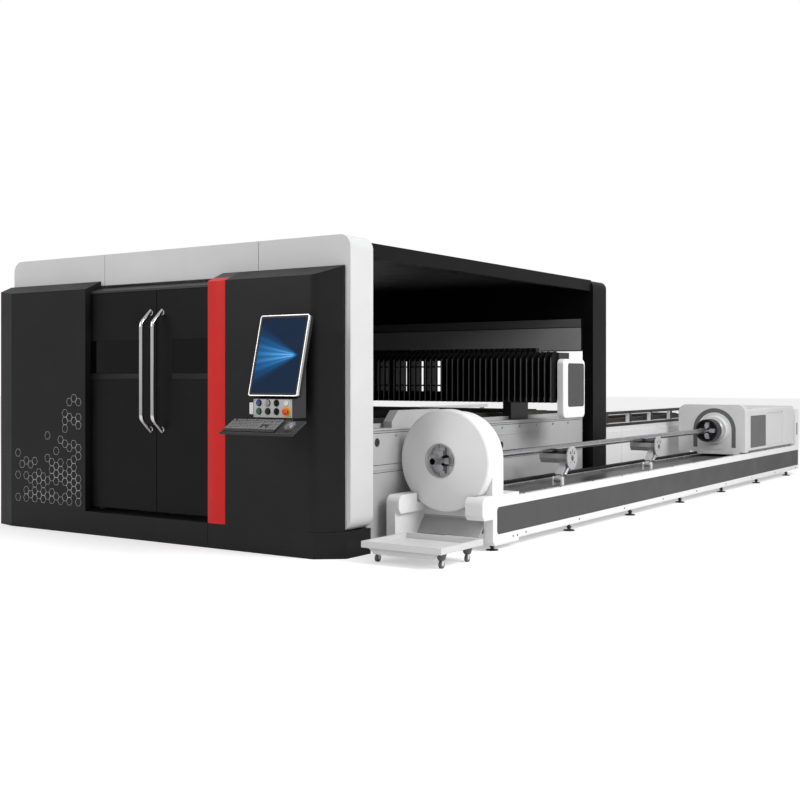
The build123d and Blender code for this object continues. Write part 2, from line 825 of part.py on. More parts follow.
def mouse():
    """The mouse at the tray's right end."""
    half = tray_width / 2
    body = block(half - 106, half - 44, -tray_depth + 45, -tray_depth + 145, 0, 32)
    body = fillet(body.edges().filter_by(Axis.Z), 26)
    body = fillet(body.faces().sort_by(Axis.Z)[-1].edges(), 14)
    return tray_place() * body


def push_button(x, z, radius, height):
    """A push button that stands clear of the panel by its travel, with its stem behind."""
    back = station_front - button_travel - joint_gap
    cap = rod_y(radius, back - height, back, x, z)
    cap = chamfer(cap.faces().sort_by(Axis.Y)[0].edges(), 2)
    return cap + rod_y(stem_radius, back - 1, station_front + stem_length - button_travel, x, z)


def turning_knob(x, z, ridge_width, ridge_height):
    """A round selector with a raised grip ridge."""
    back = station_front - joint_gap
    knob = rod_y(button_radius, back - 8, back, x, z)
    knob += block(x - ridge_width / 2, x + ridge_width / 2, back - 8 - ridge_height, back - 7,
                  z - button_radius + 1, z + button_radius - 1)
    return knob + rod_y(stem_radius, back - 1, station_front + stem_length, x, z)


def emergency_stop():
    """The red mushroom head on its stem."""
    x, z = control_columns[3], control_row_lower
    back = station_front - button_travel - joint_gap
    head = turned_y(((0, back - 26), (14, back - 25), (20, back - 20), (21, back - 12), (13, back - 8),
                     (13, back), (0, back)), x, z)
    return head + rod_y(stem_radius, back - 1, station_front + stem_length - button_travel, x, z)


# Tube-cutting unit

def tube_bed():
    """The long bed: box base, raised rims, two carriage rails and the pivot ears of the supports."""
    bed = block(tube_bed_left, tube_bed_right, tube_bed_front, tube_bed_end, tube_bed_bottom,
                tube_bed_rim)
    bed -= block(tube_bed_left + tube_rim_width, tube_bed_right - tube_rim_width, tube_bed_front - 1,
                 tube_bed_end - tube_rim_width, tube_bed_deck, tube_bed_rim + 1)
    bed -= block(tube_bed_right - band_depth, tube_bed_right + 1, tube_bed_front - 1,
                 tube_bed_end - tube_rim_width, band_bottom, band_top)
    bed += block(tube_bed_left, tube_bed_right, bed_end_panel_front, tube_bed_end, tube_bed_rim - 1,
                 bed_end_panel_top)
    bed -= block(tube_bed_right - 20, tube_bed_right + 1, bed_end_panel_front + 40, tube_bed_end - 40,
                 *bed_end_slot)
    for x in (tube_axis_x - 165, tube_axis_x + 255):
        bed += block(x - 17, x + 17, tube_bed_front + 60, bed_end_panel_front, tube_bed_deck - 1,
                     saddle_bottom - joint_gap)
    for station in support_stations:
        y = station - support_pivot_back
        for x in (support_x - 38, support_x + 38):
            ear = block(x - 6, x + 6, y - 22, y + 22, tube_bed_deck - 1, support_pivot_z)
            bed += ear + rod_x(22, x - 6, x + 6, y, support_pivot_z)
        bed += rod_x(10, support_x - 44, support_x + 44, y, support_pivot_z)
    return bed


def bed_side_panel():
    """The dark band let into the near side of the bed and its front casting."""
    length = tube_bed_end - tube_rim_width - band_front
    middle = band_front + length / 2
    outline = Pos(middle, (band_bottom + band_top) / 2) * Rectangle(length, band_top - band_bottom)
    corners = outline.vertices().group_by(Axis.X)[0]
    return prism_x(fillet(corners, 30), tube_bed_right - band_depth, tube_bed_right - 1)


def foot_places():
    """The levelling feet's places, along both sides of the unit."""
    near = tube_bed_right - foot_inset
    far = tube_bed_left + foot_inset
    ys = [foot_first + index * foot_pitch for index in range(foot_count)]
    return [(x, y) for x in (far, near) for y in ys]


def levelling_feet():
    """The screwed feet: a dished pad, a neck and a nut under the bed, all alike."""
    feet = []
    for x, y in foot_places():
        top = chuck_base_bottom if y < tube_bed_front else tube_bed_bottom
        outline = ((0, 0), (foot_radius, 0), (foot_radius, foot_rim),
                   (foot_shoulder_radius, foot_dish), (foot_neck_radius, foot_neck_low),
                   (foot_neck_radius, foot_nut_low), (foot_nut_radius, foot_nut_low),
                   (foot_nut_radius, top), (0, top))
        feet.append(turned_z(outline, x, y))
    return Compound(children=feet)


def chuck_base():
    """The white casting at the front of the unit: two towers joined by a bridge."""
    front, back = chuck_base_front, tube_bed_front
    left, right = chuck_base_left, tube_bed_right
    gap_left = left + tower_left_width
    gap_right = right - tower_right_width
    body = block(left, right, front + chute_setback, back, bridge_bottom, chuck_base_top)
    body += base_profile(front, chuck_base_bottom, gap_right, right)
    body += base_profile(left_tower_front, chuck_base_bottom, left, gap_left)
    body += base_profile(shelf_front, shelf_bottom, right - shelf_width, right)
    body += base_profile(left_tower_front, left_shelf_bottom, left, left + left_shelf_width)
    body -= rod_y(drum_radius + drum_slot, drum_front - 30, front, tube_axis_x, tube_axis_z)
    band = Pos((band_front + back) / 2 + 200, (band_bottom + band_top) / 2) * Rectangle(
        back - band_front + 400, band_top - band_bottom)
    corners = band.vertices().group_by(Axis.X)[0]
    body -= prism_x(fillet(corners, 30), right - band_depth, right + 1)
    return body


def base_profile(front, bottom, x0, x1):
    """One upright of the base casting: its side outline with a rounded top and a chamfered foot."""
    back = tube_bed_front
    outline = Polyline((front + 26, bottom), (front, bottom + 34), (front, chuck_base_top),
                       (back, chuck_base_top), (back, bottom), close=True)
    side = make_face(outline)
    corner = side.vertices().sort_by_distance((front, chuck_base_top, 0))[0]
    return prism_x(fillet(corner, shelf_radius), x0, x1)


def chute_panel():
    """The sloping sheet between the towers, folded at its foot."""
    x0 = chuck_base_left + tower_left_width
    x1 = tube_bed_right - tower_right_width
    foot_y = chuck_base_front - chute_reach
    top_y = chuck_base_front + chute_setback
    top_z = bridge_bottom - 12
    outline = ((foot_y, 100), (foot_y - 4, 108), (top_y - 4, top_z), (top_y - 4, bridge_bottom),
               (top_y + 2, bridge_bottom), (top_y + 2, top_z - 4), (foot_y + 6, 100))
    return prism_x(outline, x0, x1)


def front_chuck_bracket():
    """The arched bracket that carries the front spindle."""
    arch = Pos(tube_axis_x, tube_axis_z) * Circle(bracket_radius)
    low = chuck_base_top
    legs = Pos(tube_axis_x, (low + tube_axis_z) / 2) * Rectangle(2 * bracket_radius, tube_axis_z - low)
    body = prism_y(arch + legs, bracket_front, bracket_front + bracket_depth)
    body -= block(-999, 999, bracket_front - 1, bracket_front + bracket_depth + 1, 0, low)
    body -= rod_y(front_shaft_radius + running_gap, bracket_front - 1, bracket_front + bracket_depth + 1,
                  tube_axis_x, tube_axis_z)
    return body


def front_spindle():
    """The big white drum with its conical face, hub recess and hollow shaft."""
    hub_floor = drum_front
    face = drum_front - cone_depth
    shaft_end = bracket_front + bracket_depth
    outline = ((chuck_bore, hub_floor), (hub_radius, hub_floor), (hub_radius, face),
               (hub_radius + 12, face), (drum_radius - 10, drum_front - 8), (drum_radius, drum_front),
               (drum_radius, drum_back), (front_shaft_radius, drum_back),
               (front_shaft_radius, shaft_end), (chuck_bore, shaft_end))
    return turned_y(outline, tube_axis_x, tube_axis_z)


def chuck_jaw(floor, turn):
    """One stepped jaw standing on the hub floor, turned about the tube's axis."""
    near = tube_radius + joint_gap
    jaw_reach = math.sqrt(rear_hub_radius ** 2 - (jaw_width / 2) ** 2) - jaw_travel - 2
    jaw = block(-jaw_width / 2, jaw_width / 2, floor - jaw_depth, floor - joint_gap, near,
                jaw_reach - 22)
    jaw += block(-jaw_width / 2, jaw_width / 2, floor - jaw_depth * 0.55, floor - joint_gap,
                 jaw_reach - 23, jaw_reach)
    nose = ((-jaw_width / 2, near - 1), (-jaw_width / 2, near + 12), (-9, near - 1))
    jaw -= prism_y(nose, floor - jaw_depth - 1, floor)
    mirrored = tuple((-x, z) for x, z in nose)
    jaw -= prism_y(mirrored, floor - jaw_depth - 1, floor)
    return Pos(tube_axis_x, 0, tube_axis_z) * Rot(0, turn, 0) * jaw


def workpiece_tube():
    """The round tube held by both chucks."""
    length_end = rear_chuck_front + 120
    tube = rod_y(tube_radius, tube_front, length_end, tube_axis_x, tube_axis_z)
    tube -= rod_y(tube_radius - tube_wall, tube_front - 1, length_end + 1, tube_axis_x, tube_axis_z)
    return tube


def rear_chuck_housing():
    """The rear chuck's upright plate with its arched groove, and the saddle on the rails."""
    right = tube_bed_right
    width = right - rear_plate_left
    middle = (right + rear_plate_left) / 2
    plate_outline = Pos(middle, (rear_plate_bottom + rear_plate_top) / 2) * Rectangle(
        width, rear_plate_top - rear_plate_bottom)
    corners = plate_outline.vertices().group_by(Axis.Y)[-1]
    back = rear_plate_front + rear_plate_depth
    plate = prism_y(fillet(corners, 90), rear_plate_front, back)
    outer = Circle(rear_stripe_outer) + Pos(0, -100) * Rectangle(2 * rear_stripe_outer, 200)
    inner_radius = rear_stripe_outer - rear_stripe_width
    inner = Circle(inner_radius) + Pos(0, -110) * Rectangle(2 * inner_radius, 220)
    stripe = Pos(tube_axis_x, tube_axis_z) * (outer - inner)
    plate -= prism_y(stripe, rear_plate_front - 1, rear_plate_front + 5)
    plate -= rod_y(rear_chuck_radius + running_gap, rear_plate_front - 1, back + 1,
                   tube_axis_x, tube_axis_z)
    saddle = block(tube_axis_x - 200, tube_axis_x + 290, rear_plate_front, rear_cover_end,
                   saddle_bottom, saddle_top)
    return plate + saddle


def rear_drive_cover():
    """The drive's cover behind the rear chuck, with two recessed side panels."""
    front = rear_plate_front + rear_plate_depth
    right = tube_bed_right - 10
    body = block(rear_cover_left, right, front, rear_cover_end, saddle_top, rear_cover_top)
    body = fillet(body.edges().filter_by(Axis.Y).group_by(Axis.Z)[-1], 30)
    body -= block(right - 6, right + 1, front + 120, front + 720, saddle_top + 25, rear_cover_top - 80)
    body -= block(right - 12, right + 1, front + 760, front + 1440, saddle_top + 25, rear_cover_top - 60)
    body -= block(right - 160, right - 60, front + 160, front + 520, rear_cover_top - 10, rear_cover_top + 1)
    cavity = rear_chuck_radius + 12
    body -= rod_y(cavity, front - 1, front + 120, tube_axis_x, tube_axis_z)
    return body


def rear_spindle():
    """The rear chuck: a cylinder that stands out of its plate, recessed for the jaws."""
    floor = rear_chuck_front + jaw_depth
    back = rear_plate_front + rear_plate_depth + 60
    outline = ((tube_radius + joint_gap, floor), (rear_hub_radius, floor),
               (rear_hub_radius, rear_chuck_front), (rear_chuck_radius, rear_chuck_front),
               (rear_chuck_radius, back), (tube_radius + joint_gap, back))
    return turned_y(outline, tube_axis_x, tube_axis_z)


def support_arm(station):
    """One swinging tube support: leaning arm, trough for the roller, and the slotted end disc."""
    pivot_y = station - support_pivot_back
    axis_z = roller_axis_z()
    rise = axis_z - 62 - support_pivot_z
    lean = math.degrees(math.atan2(station - pivot_y, rise))
    length = math.hypot(station - pivot_y, rise)
    arm = Pos(support_x, pivot_y, support_pivot_z) * Rot(-lean, 0, 0) * Pos(0, 0, length / 2 + 14) * Box(
        support_arm_width, support_arm_depth, length - 28)
    eye = 18
    arm += Pos(support_x, pivot_y, support_pivot_z) * Rot(-lean, 0, 0) * Pos(0, 0, 20) * Box(
        2 * eye, 44, 40)
    arm += rod_x(24, support_x - eye, support_x + eye, pivot_y, support_pivot_z)
    arm -= rod_x(10 + running_gap, support_x - 60, support_x + 60, pivot_y, support_pivot_z)
    x0, x1 = tube_axis_x - support_half, tube_axis_x + support_half
    base = axis_z - roller_end - 8
    trough = ((station - 62, axis_z + 4), (station - 62, base + 14), (station - 34, base - 26),
              (station + 34, base - 26), (station + 62, base + 14), (station + 62, axis_z + 4),
              (station + 52, axis_z + 4), (station + 52, base + 4), (station - 52, base + 4),
              (station - 52, axis_z + 4))
    arm += prism_x(trough, x0, x1)
    for x in (x0, x1 - 6):
        arm += block(x, x + 6, station - 60, station + 60, base, axis_z + 16)
    disc_z = axis_z - support_disc_drop
    disc = rod_x(support_disc_radius, x1, x1 + 12, station, disc_z)
    for turn in (-40, 0, 40):
        slot = block(-1, 20, -7, 7, 38, 76)
        disc -= Pos(x1, station, disc_z) * Rot(turn, 0, 0) * slot
    arm += disc
    pin = rod_x(roller_pin_radius, x0, x1, station, axis_z)
    return arm + pin


def roller_axis_z():
    """Height of a support roller's axle, so that both its tapers just clear the tube."""
    taper = math.atan2(roller_end - roller_waist, roller_length / 2)
    return tube_axis_z - (tube_radius + joint_gap) / math.cos(taper) - roller_waist


def support_roller(station):
    """The roller under the tube: two tapered halves on one axle, thinnest where they meet."""
    half = roller_length / 2
    split = joint_gap / 2
    bore = roller_pin_radius + running_gap
    outline = Polyline((split, bore), (split, roller_waist), (half, roller_end), (half, bore),
                       close=True)
    taper = revolve(make_face(outline), Axis.X)
    return Pos(tube_axis_x, station, roller_axis_z()) * (taper + Rot(0, 0, 180) * taper)


# Scrap cart

def cart_tray():
    """The low wheeled tray with a folded rim, a front apron and four caster forks."""
    x0, x1 = cart_centre - cart_width / 2, cart_centre + cart_width / 2
    y0, y1 = cart_front, cart_front + cart_length
    low = cart_rim_top - cart_depth
    tray = block(x0, x1, y0, y1, low, cart_rim_top)
    tray -= block(x0 + 22, x1 - 22, y0 + 22, y1 - 22, low + cart_sheet, cart_rim_top + 1)
    apron = ((x0 + 34, low), (x1 - 34, low), (x1 - 80, low - 42), (x0 + 80, low - 42))
    tray += prism_y(apron, y0 + 30, y0 + 34)
    for x, y in caster_places():
        for side in (-1, 1):
            cheek = side * (caster_width / 2 + 1.5)
            tray += block(x + cheek - 1.2, x + cheek + 1.2, y - 12, y + 12, caster_radius - 8, low + 1)
        tray += block(x - 12, x + 12, y - 12, y + 12, 2 * caster_radius + 3, low + 1)
        tray += rod_x(4, x - caster_width / 2 - 2, x + caster_width / 2 + 2, y, caster_radius)
    return tray


def caster_places():
    """The four caster wheels' places."""
    xs = (cart_centre - cart_width / 2 + caster_inset_x, cart_centre + cart_width / 2 - caster_inset_x)
    ys = (cart_front + caster_inset_y, cart_front + cart_length - caster_inset_y)
    return [(x, y) for y in ys for x in xs]


def cart_wheels(pair):
    """One pair of caster wheels on a shared line; pair 0 is the front one."""
    wheels = []
    for x, y in caster_places()[2 * pair:2 * pair + 2]:
        wheel = rod_x(caster_radius, x - caster_width / 2, x + caster_width / 2, y, caster_radius)
        wheel -= rod_x(4 + running_gap, x - caster_width, x + caster_width, y, caster_radius)
        wheels.append(wheel)
    return Compound(children=wheels)


def build_nodes():
    """All pieces by name, in the machine's layout."""
    nodes = {
        "portal_frame": portal_frame(),
        "base_plinth": base_plinth(),
        "left_box": left_box(),
        "control_cabinet": control_cabinet(),
        "red_column": red_column(),
        "door_header": door_header(),
        "enclosure_panels": enclosure_panels(),
        "rear_portal": rear_portal(),
        "door_left": door(-1),
        "door_right": door(1),
        "handle_left": door_handle(-1),
        "handle_right": door_handle(1),
        "sheet_bed": sheet_bed(),
        "upper_pallet": pallet(upper_runner_top + joint_gap, pallet_front),
        "lower_pallet": pallet(lower_runner_top + joint_gap, exchange_front),
        "gantry_beam": gantry_beam(),
        "bellows_cover": bellows_cover(),
        "gantry_end_cap": gantry_end_cap(),
        "head_carriage": head_carriage(),
        "laser_head": laser_head(),
        "exchange_base": exchange_base(),
        "control_box": control_box(),
        "monitor_housing": monitor_housing(),
        "monitor_screen": monitor_screen(),
        "keyboard_tray": keyboard_tray(),
        "keyboard": keyboard(),
        "mouse": mouse(),
        "start_button": push_button(control_columns[0], control_row_lower, button_radius, 9),
        "reset_button": push_button(control_columns[0], control_row_upper, button_radius, 9),
        "light_button": push_button(control_columns[1], control_row_lower, button_radius, 9),
        "key_switch": turning_knob(control_columns[1], control_row_upper, 4, 16),
        "selector_upper": turning_knob(control_columns[2], control_row_upper, 8, 9),
        "selector_lower": turning_knob(control_columns[2], control_row_lower, 8, 9),
        "emergency_stop": emergency_stop(),
        "tube_bed": tube_bed(),
        "bed_side_panel": bed_side_panel(),
        "levelling_feet": levelling_feet(),
        "chuck_base": chuck_base(),
        "chute_panel": chute_panel(),
        "front_chuck_bracket": front_chuck_bracket(),
        "front_spindle": front_spindle(),
        "workpiece_tube": workpiece_tube(),
        "rear_chuck_housing": rear_chuck_housing(),
        "rear_drive_cover": rear_drive_cover(),
        "rear_spindle": rear_spindle(),
        "cart_tray": cart_tray(),
        "cart_wheels_front": cart_wheels(0),
        "cart_wheels_rear": cart_wheels(1),
    }
    for index, name in enumerate(("top", "right", "bottom", "left")):
        nodes["front_jaw_" + name] = chuck_jaw(drum_front, 90 * index)
        nodes["rear_jaw_" + name] = chuck_jaw(rear_chuck_front + jaw_depth, 90 * index)
    for name, station in zip(("front", "rear"), support_stations):
        nodes["support_arm_" + name] = support_arm(station)
        nodes["support_roller_" + name] = support_roller(station)
    return nodes


os.makedirs("parts", exist_ok=True)
placement = Pos(-centre_x, -centre_y, 0)
for node_name, shape in build_nodes().items():
    export_step(placement * shape, f"parts/{node_name}.step")
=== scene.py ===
"""The looks of an enclosed fibre laser cutting machine with a tube-cutting unit.

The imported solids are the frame. Each sub-assembly is a class that gives its solids a finish and
adds the pieces that the solids are too plain for. Sizes are in metres in the machine's own
layout, whose zero is the portal's right front edge at floor level.
"""
import logging
import math
import operator
from dataclasses import dataclass
from enum import Enum
from functools import reduce
from typing import Any, Optional, Sequence

import bmesh
import bpy
import numpy as np
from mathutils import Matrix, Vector
from mathutils.geometry import tessellate_polygon


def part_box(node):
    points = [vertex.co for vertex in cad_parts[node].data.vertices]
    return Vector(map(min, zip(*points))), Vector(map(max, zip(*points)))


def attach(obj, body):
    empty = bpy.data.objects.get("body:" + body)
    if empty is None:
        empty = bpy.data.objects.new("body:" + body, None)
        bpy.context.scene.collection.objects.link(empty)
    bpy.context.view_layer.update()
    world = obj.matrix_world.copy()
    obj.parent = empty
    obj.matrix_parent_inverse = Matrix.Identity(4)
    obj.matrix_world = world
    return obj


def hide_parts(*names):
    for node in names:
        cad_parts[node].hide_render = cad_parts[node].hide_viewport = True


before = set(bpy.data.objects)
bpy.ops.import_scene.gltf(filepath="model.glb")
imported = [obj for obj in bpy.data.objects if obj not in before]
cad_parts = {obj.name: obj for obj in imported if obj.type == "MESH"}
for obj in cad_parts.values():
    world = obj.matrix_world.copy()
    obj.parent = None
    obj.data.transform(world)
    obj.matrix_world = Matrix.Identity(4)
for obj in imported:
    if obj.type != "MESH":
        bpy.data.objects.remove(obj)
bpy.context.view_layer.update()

log = logging.getLogger("machine")
Colour = tuple[float, float, float]

# How far a piece stands off the solid behind it, and the radius that closes a turned piece at its axis.
LIFT = 0.0001
POLE = 0.0001

_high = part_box("tube_bed")[1]
SHIFT = np.array([_high.x - 0.650, _high.y - 8.810, 0.0])


class Facing(Enum):
    """Which way a flat piece's own third axis points: columns are its first, second and third axes."""

    FRONT = ((1, 0, 0), (0, 0, 1), (0, -1, 0))
    BACK = ((-1, 0, 0), (0, 0, 1), (0, 1, 0))
    RIGHT = ((0, 1, 0), (0, 0, 1), (1, 0, 0))
    LEFT = ((0, -1, 0), (0, 0, 1), (-1, 0, 0))
    UP = ((1, 0, 0), (0, 1, 0), (0, 0, 1))


@dataclass
class Surface:
    """Points with the quads and triangles that join them."""

    points: np.ndarray
    quads: np.ndarray
    triangles: np.ndarray

    def placed(self, facing: Facing, origin: Sequence[float]) -> "Surface":
        """Turns the surface to a facing and moves it: each point times the three axes, plus the origin."""
        return Surface(self.points @ np.array(facing.value, float) + np.array(origin, float),
                       self.quads, self.triangles)

    def turned(self, axis: str, degrees: float) -> "Surface":
        """Turns the points about one of the three main axes through zero."""
        return Surface(self.points @ rotation(axis, degrees).T, self.quads, self.triangles)

    def moved(self, x: float, y: float, z: float) -> "Surface":
        """Moves the surface."""
        return Surface(self.points + np.array((x, y, z)), self.quads, self.triangles)

    def repeated(self, offsets: np.ndarray) -> "Surface":
        """Copies the surface to each offset: points plus offset, faces plus the copy's first index."""
        offsets = np.atleast_2d(np.array(offsets, float))
        count, size = len(offsets), len(self.points)
        points = (self.points[None] + offsets[:, None]).reshape(-1, 3)
        steps = (np.arange(count) * size)[:, None, None]
        return Surface(points, (self.quads[None] + steps).reshape(-1, 4),
                       (self.triangles[None] + steps).reshape(-1, 3))

    def __add__(self, other: "Surface") -> "Surface":
        """Joins two surfaces into one."""
        size = len(self.points)
        return Surface(np.vstack([self.points, other.points]),
                       np.vstack([self.quads, other.quads + size]),
                       np.vstack([self.triangles, other.triangles + size]))


def rotation(axis: str, degrees: float) -> np.ndarray:
    """The matrix of a turn about one of the three main axes."""
    c, s = math.cos(math.radians(degrees)), math.sin(math.radians(degrees))
    rows = {"x": ((1, 0, 0), (0, c, -s), (0, s, c)), "y": ((c, 0, s), (0, 1, 0), (-s, 0, c)),
            "z": ((c, -s, 0), (s, c, 0), (0, 0, 1))}
    return np.array(rows[axis], float)


def skin(rings: np.ndarray, caps: bool = True, loop: bool = False) -> Surface:
    """Joins rings of points into a skin: quad (i, j) spans rings i and i+1 and places j and j+1.

    Args:
        rings: points by ring and place, shape (rings, places, 3).
        caps: whether a fan of triangles about the middle closes the first and last ring.
        loop: whether the last ring joins the first.

    Returns:
        The closed or open surface.
    """
    count, size = rings.shape[:2]
    i = np.arange(count if loop else count - 1)[:, None]
    j = np.arange(size)[None]
    k = (j + 1) % size
    n = (i + 1) % count
    quads = np.stack([i * size + j, i * size + k, n * size + k, n * size + j], -1).reshape(-1, 4)
    points = rings.reshape(-1, 3)
    triangles = np.zeros((0, 3), int)
    if caps and not loop:
        points = np.vstack([points, rings[0].mean(0), rings[-1].mean(0)])
        j, k = j[0], k[0]
        first = np.stack([np.full(size, count * size), k, j], -1)
        base = (count - 1) * size
        last = np.stack([np.full(size, count * size + 1), base + j, base + k], -1)
        triangles = np.vstack([first, last])
    return Surface(points, quads, triangles)


def rounded(width: float, height: float, radius: float, steps: int = 6) -> np.ndarray:
    """A rounded rectangle's outline: four quarter circles about its corner centres, counterclockwise."""
    radius = min(radius, width / 2 - 1e-5, height / 2 - 1e-5)
    turn = (np.arange(4)[:, None] * 90 + np.linspace(0, 90, steps)[None]) * np.pi / 180
    sx, sy = np.array([1, -1, -1, 1.0]), np.array([1, 1, -1, -1.0])
    x = sx[:, None] * (width / 2 - radius) + radius * np.cos(turn)
    y = sy[:, None] * (height / 2 - radius) + radius * np.sin(turn)
    return np.stack([x.ravel(), y.ravel()], -1)


def circle(radius: float, steps: int = 32) -> np.ndarray:
    """A circle's outline, counterclockwise."""
    turn = np.arange(steps) * 2 * np.pi / steps
    return np.stack([radius * np.cos(turn), radius * np.sin(turn)], -1)


def inset(outline: np.ndarray, amount: float) -> np.ndarray:
    """Moves an outline inwards along the mean of its neighbouring edges' normals."""
    ahead, behind = np.roll(outline, -1, 0) - outline, outline - np.roll(outline, 1, 0)
    ahead /= np.linalg.norm(ahead, axis=1, keepdims=True) + 1e-12
    behind /= np.linalg.norm(behind, axis=1, keepdims=True) + 1e-12
    both = ahead + behind
    both /= np.linalg.norm(both, axis=1, keepdims=True) + 1e-12
    normal = np.stack([-both[:, 1], both[:, 0]], -1)
    return outline + normal * amount


def stacked(outline: np.ndarray, levels: Sequence[tuple[float, float]]) -> np.ndarray:
    """Rings of an outline: each level is how far it is drawn in, and its height."""
    return np.array([np.column_stack([inset(outline, draw), np.full(len(outline), height)])
                     for draw, height in levels])


def plate(outline: np.ndarray, thickness: float, bevel: float = 0.001) -> Surface:
    """A flat piece with bevelled rims: the outline at four depths, drawn in by the bevel at both ends.

    Args:
        outline: the piece's outline in its own plane, counterclockwise.
        thickness: how far it stands along its third axis.
        bevel: how far both rims are drawn in.

    Returns:
        The closed surface.
    """
    bevel = min(bevel, thickness / 2.2)
    levels = ((bevel, 0.0), (0.0, bevel), (0.0, thickness - bevel), (bevel, thickness))
    return skin(stacked(outline, levels))


def total(surfaces: Sequence[Surface]) -> Surface:
    """Joins several surfaces into one."""
    return reduce(operator.add, surfaces)


def pierced(outline: Sequence[Any], holes: Sequence[np.ndarray], thickness: float,
            bevel: float = 0.0006) -> Surface:
    """A flat piece of any outline with holes through it.

    Args:
        outline: its outline, counterclockwise; it may have hollows.
        holes: outlines of holes, counterclockwise.
        thickness: how far it stands along its third axis.
        bevel: how far all rims are drawn in.

    Returns:
        The closed surface: a wall along each outline, and two faces tessellated between them.
    """
    loops = [np.array(outline, float)] + [np.array(hole, float)[::-1] for hole in holes]
    levels = ((bevel, 0.0), (0.0, bevel), (0.0, thickness - bevel), (bevel, thickness))
    walls = [skin(stacked(loop, levels), caps=False) for loop in loops]
    drawn = [inset(loop, bevel) for loop in loops]
    faces = np.array(tessellate_polygon([np.pad(loop, ((0, 0), (0, 1))).tolist() for loop in drawn]))
    edge = np.vstack(drawn)
    flat = [Surface(np.column_stack([edge, np.full(len(edge), height)]), np.zeros((0, 4), int), faces)
            for height in (0.0, thickness)]
    return total(walls + flat)


def frame_ring(outline: np.ndarray, width: float, thickness: float, bevel: float = 0.001) -> Surface:
    """A closed bar of bevelled section that runs along an outline, from it inwards by its width."""
    section = ((0, 0), (0, thickness - bevel), (bevel, thickness), (width - bevel, thickness),
               (width, thickness - bevel), (width, 0))
    rings = [np.column_stack([inset(outline, draw), np.full(len(outline), height)])
             for draw, height in section]
    return skin(np.array(rings), loop=True)


def lathe(profile: Sequence[tuple[float, float]], steps: int = 40, loop: bool = False) -> Surface:
    """A turned piece: each (radius, height) of the profile becomes a circle about the third axis."""
    profile = np.array(profile, float)
    turn = np.arange(steps) * 2 * np.pi / steps
    x = profile[:, :1] * np.cos(turn)
    y = profile[:, :1] * np.sin(turn)
    z = np.repeat(profile[:, 1:], steps, 1)
    return skin(np.stack([x, y, z], -1), caps=not loop, loop=loop)


def along(path: np.ndarray, radius: float, steps: int = 10) -> Surface:
    """A round bar along a path: circles square to the path's direction at each of its points."""
    path = np.array(path, float)
    ahead = np.gradient(path, axis=0)
    ahead /= np.linalg.norm(ahead, axis=1, keepdims=True) + 1e-12
    guide = np.where(np.abs(ahead[:, 2:3]) < 0.9, [[0, 0, 1.0]], [[1.0, 0, 0]])
    side = np.cross(guide, ahead)
    side /= np.linalg.norm(side, axis=1, keepdims=True) + 1e-12
    up = np.cross(ahead, side)
    turn = np.arange(steps) * 2 * np.pi / steps
    rings = path[:, None] + radius * (side[:, None] * np.cos(turn)[None, :, None]
                                      + up[:, None] * np.sin(turn)[None, :, None])
    return skin(rings)


def bar(width: float, height: float, length: float, bevel: float = 0.001) -> Surface:
    """A straight bar of rounded section, centred on its first two axes and standing on the third."""
    return plate(rounded(width, height, min(width, height) * 0.15, 3), length, bevel)


def spaced(step: Sequence[float], count: int, start: Sequence[float] = (0, 0, 0)) -> np.ndarray:
    """Offsets in a row: start plus the step times 0, 1, 2 and so on."""
    return np.array(start, float) + np.arange(count)[:, None] * np.array(step, float)


def around(count: int, radius: float, first: float = 0.0) -> np.ndarray:
    """Offsets on a circle about the third axis, the first one at an angle in degrees."""
    turn = math.radians(first) + np.arange(count) * 2 * np.pi / count
    return np.stack([radius * np.cos(turn), radius * np.sin(turn), np.zeros(count)], -1)


def bolt(radius: float, height: float, steps: int = 14) -> Surface:
    """A cap screw's head with the round recess of its socket."""
    return lathe(((radius * 0.02, height * 0.4), (radius * 0.5, height * 0.4), (radius * 0.52, height),
                  (radius * 0.86, height), (radius, height * 0.8), (radius, 0.0)), steps)


def folds(width: float, height: float, dip: float, pitch: float, count: int) -> Surface:
    """A folded cover along the second axis: its top falls by the dip between every two folds."""
    place = np.arange(2 * count + 1)
    top = height - dip * (place % 2)
    side, low = np.full(len(place), width / 2), np.zeros(len(place))
    corners = [(-side, low), (side, low), (side, top), (-side, top)]
    rings = np.stack([np.stack([x, place * pitch / 2, z], -1) for x, z in corners], 1)
    return skin(rings)


@dataclass
class Graph:
    """A node tree with short ways to add and join its nodes."""

    tree: bpy.types.NodeTree

    def add(self, kind: str, values: Optional[dict] = None, **settings: Any) -> bpy.types.Node:
        """Adds a node.

        Args:
            kind: the node's type name without its ShaderNode prefix.
            values: a constant or a socket to join, by input name or number.
            settings: the node's own properties.

        Returns:
            The new node.
        """
        node = self.tree.nodes.new(kind if kind.startswith("Node") else "ShaderNode" + kind)
        for name, value in settings.items():
            setattr(node, name, value)
        for key, value in (values or {}).items():
            if isinstance(value, bpy.types.NodeSocket):
                self.tree.links.new(value, node.inputs[key])
            else:
                node.inputs[key].default_value = value
        return node

    def maths(self, operation: str, *terms: Any) -> bpy.types.NodeSocket:
        """A Math node's result for one to three terms."""
        return self.add("Math", dict(enumerate(terms)), operation=operation).outputs[0]

    def mixed(self, share: Any, first: Any, second: Any) -> bpy.types.NodeSocket:
        """A colour between two colours by a share."""
        return self.add("Mix", {0: share, 6: first, 7: second}, data_type="RGBA").outputs[2]


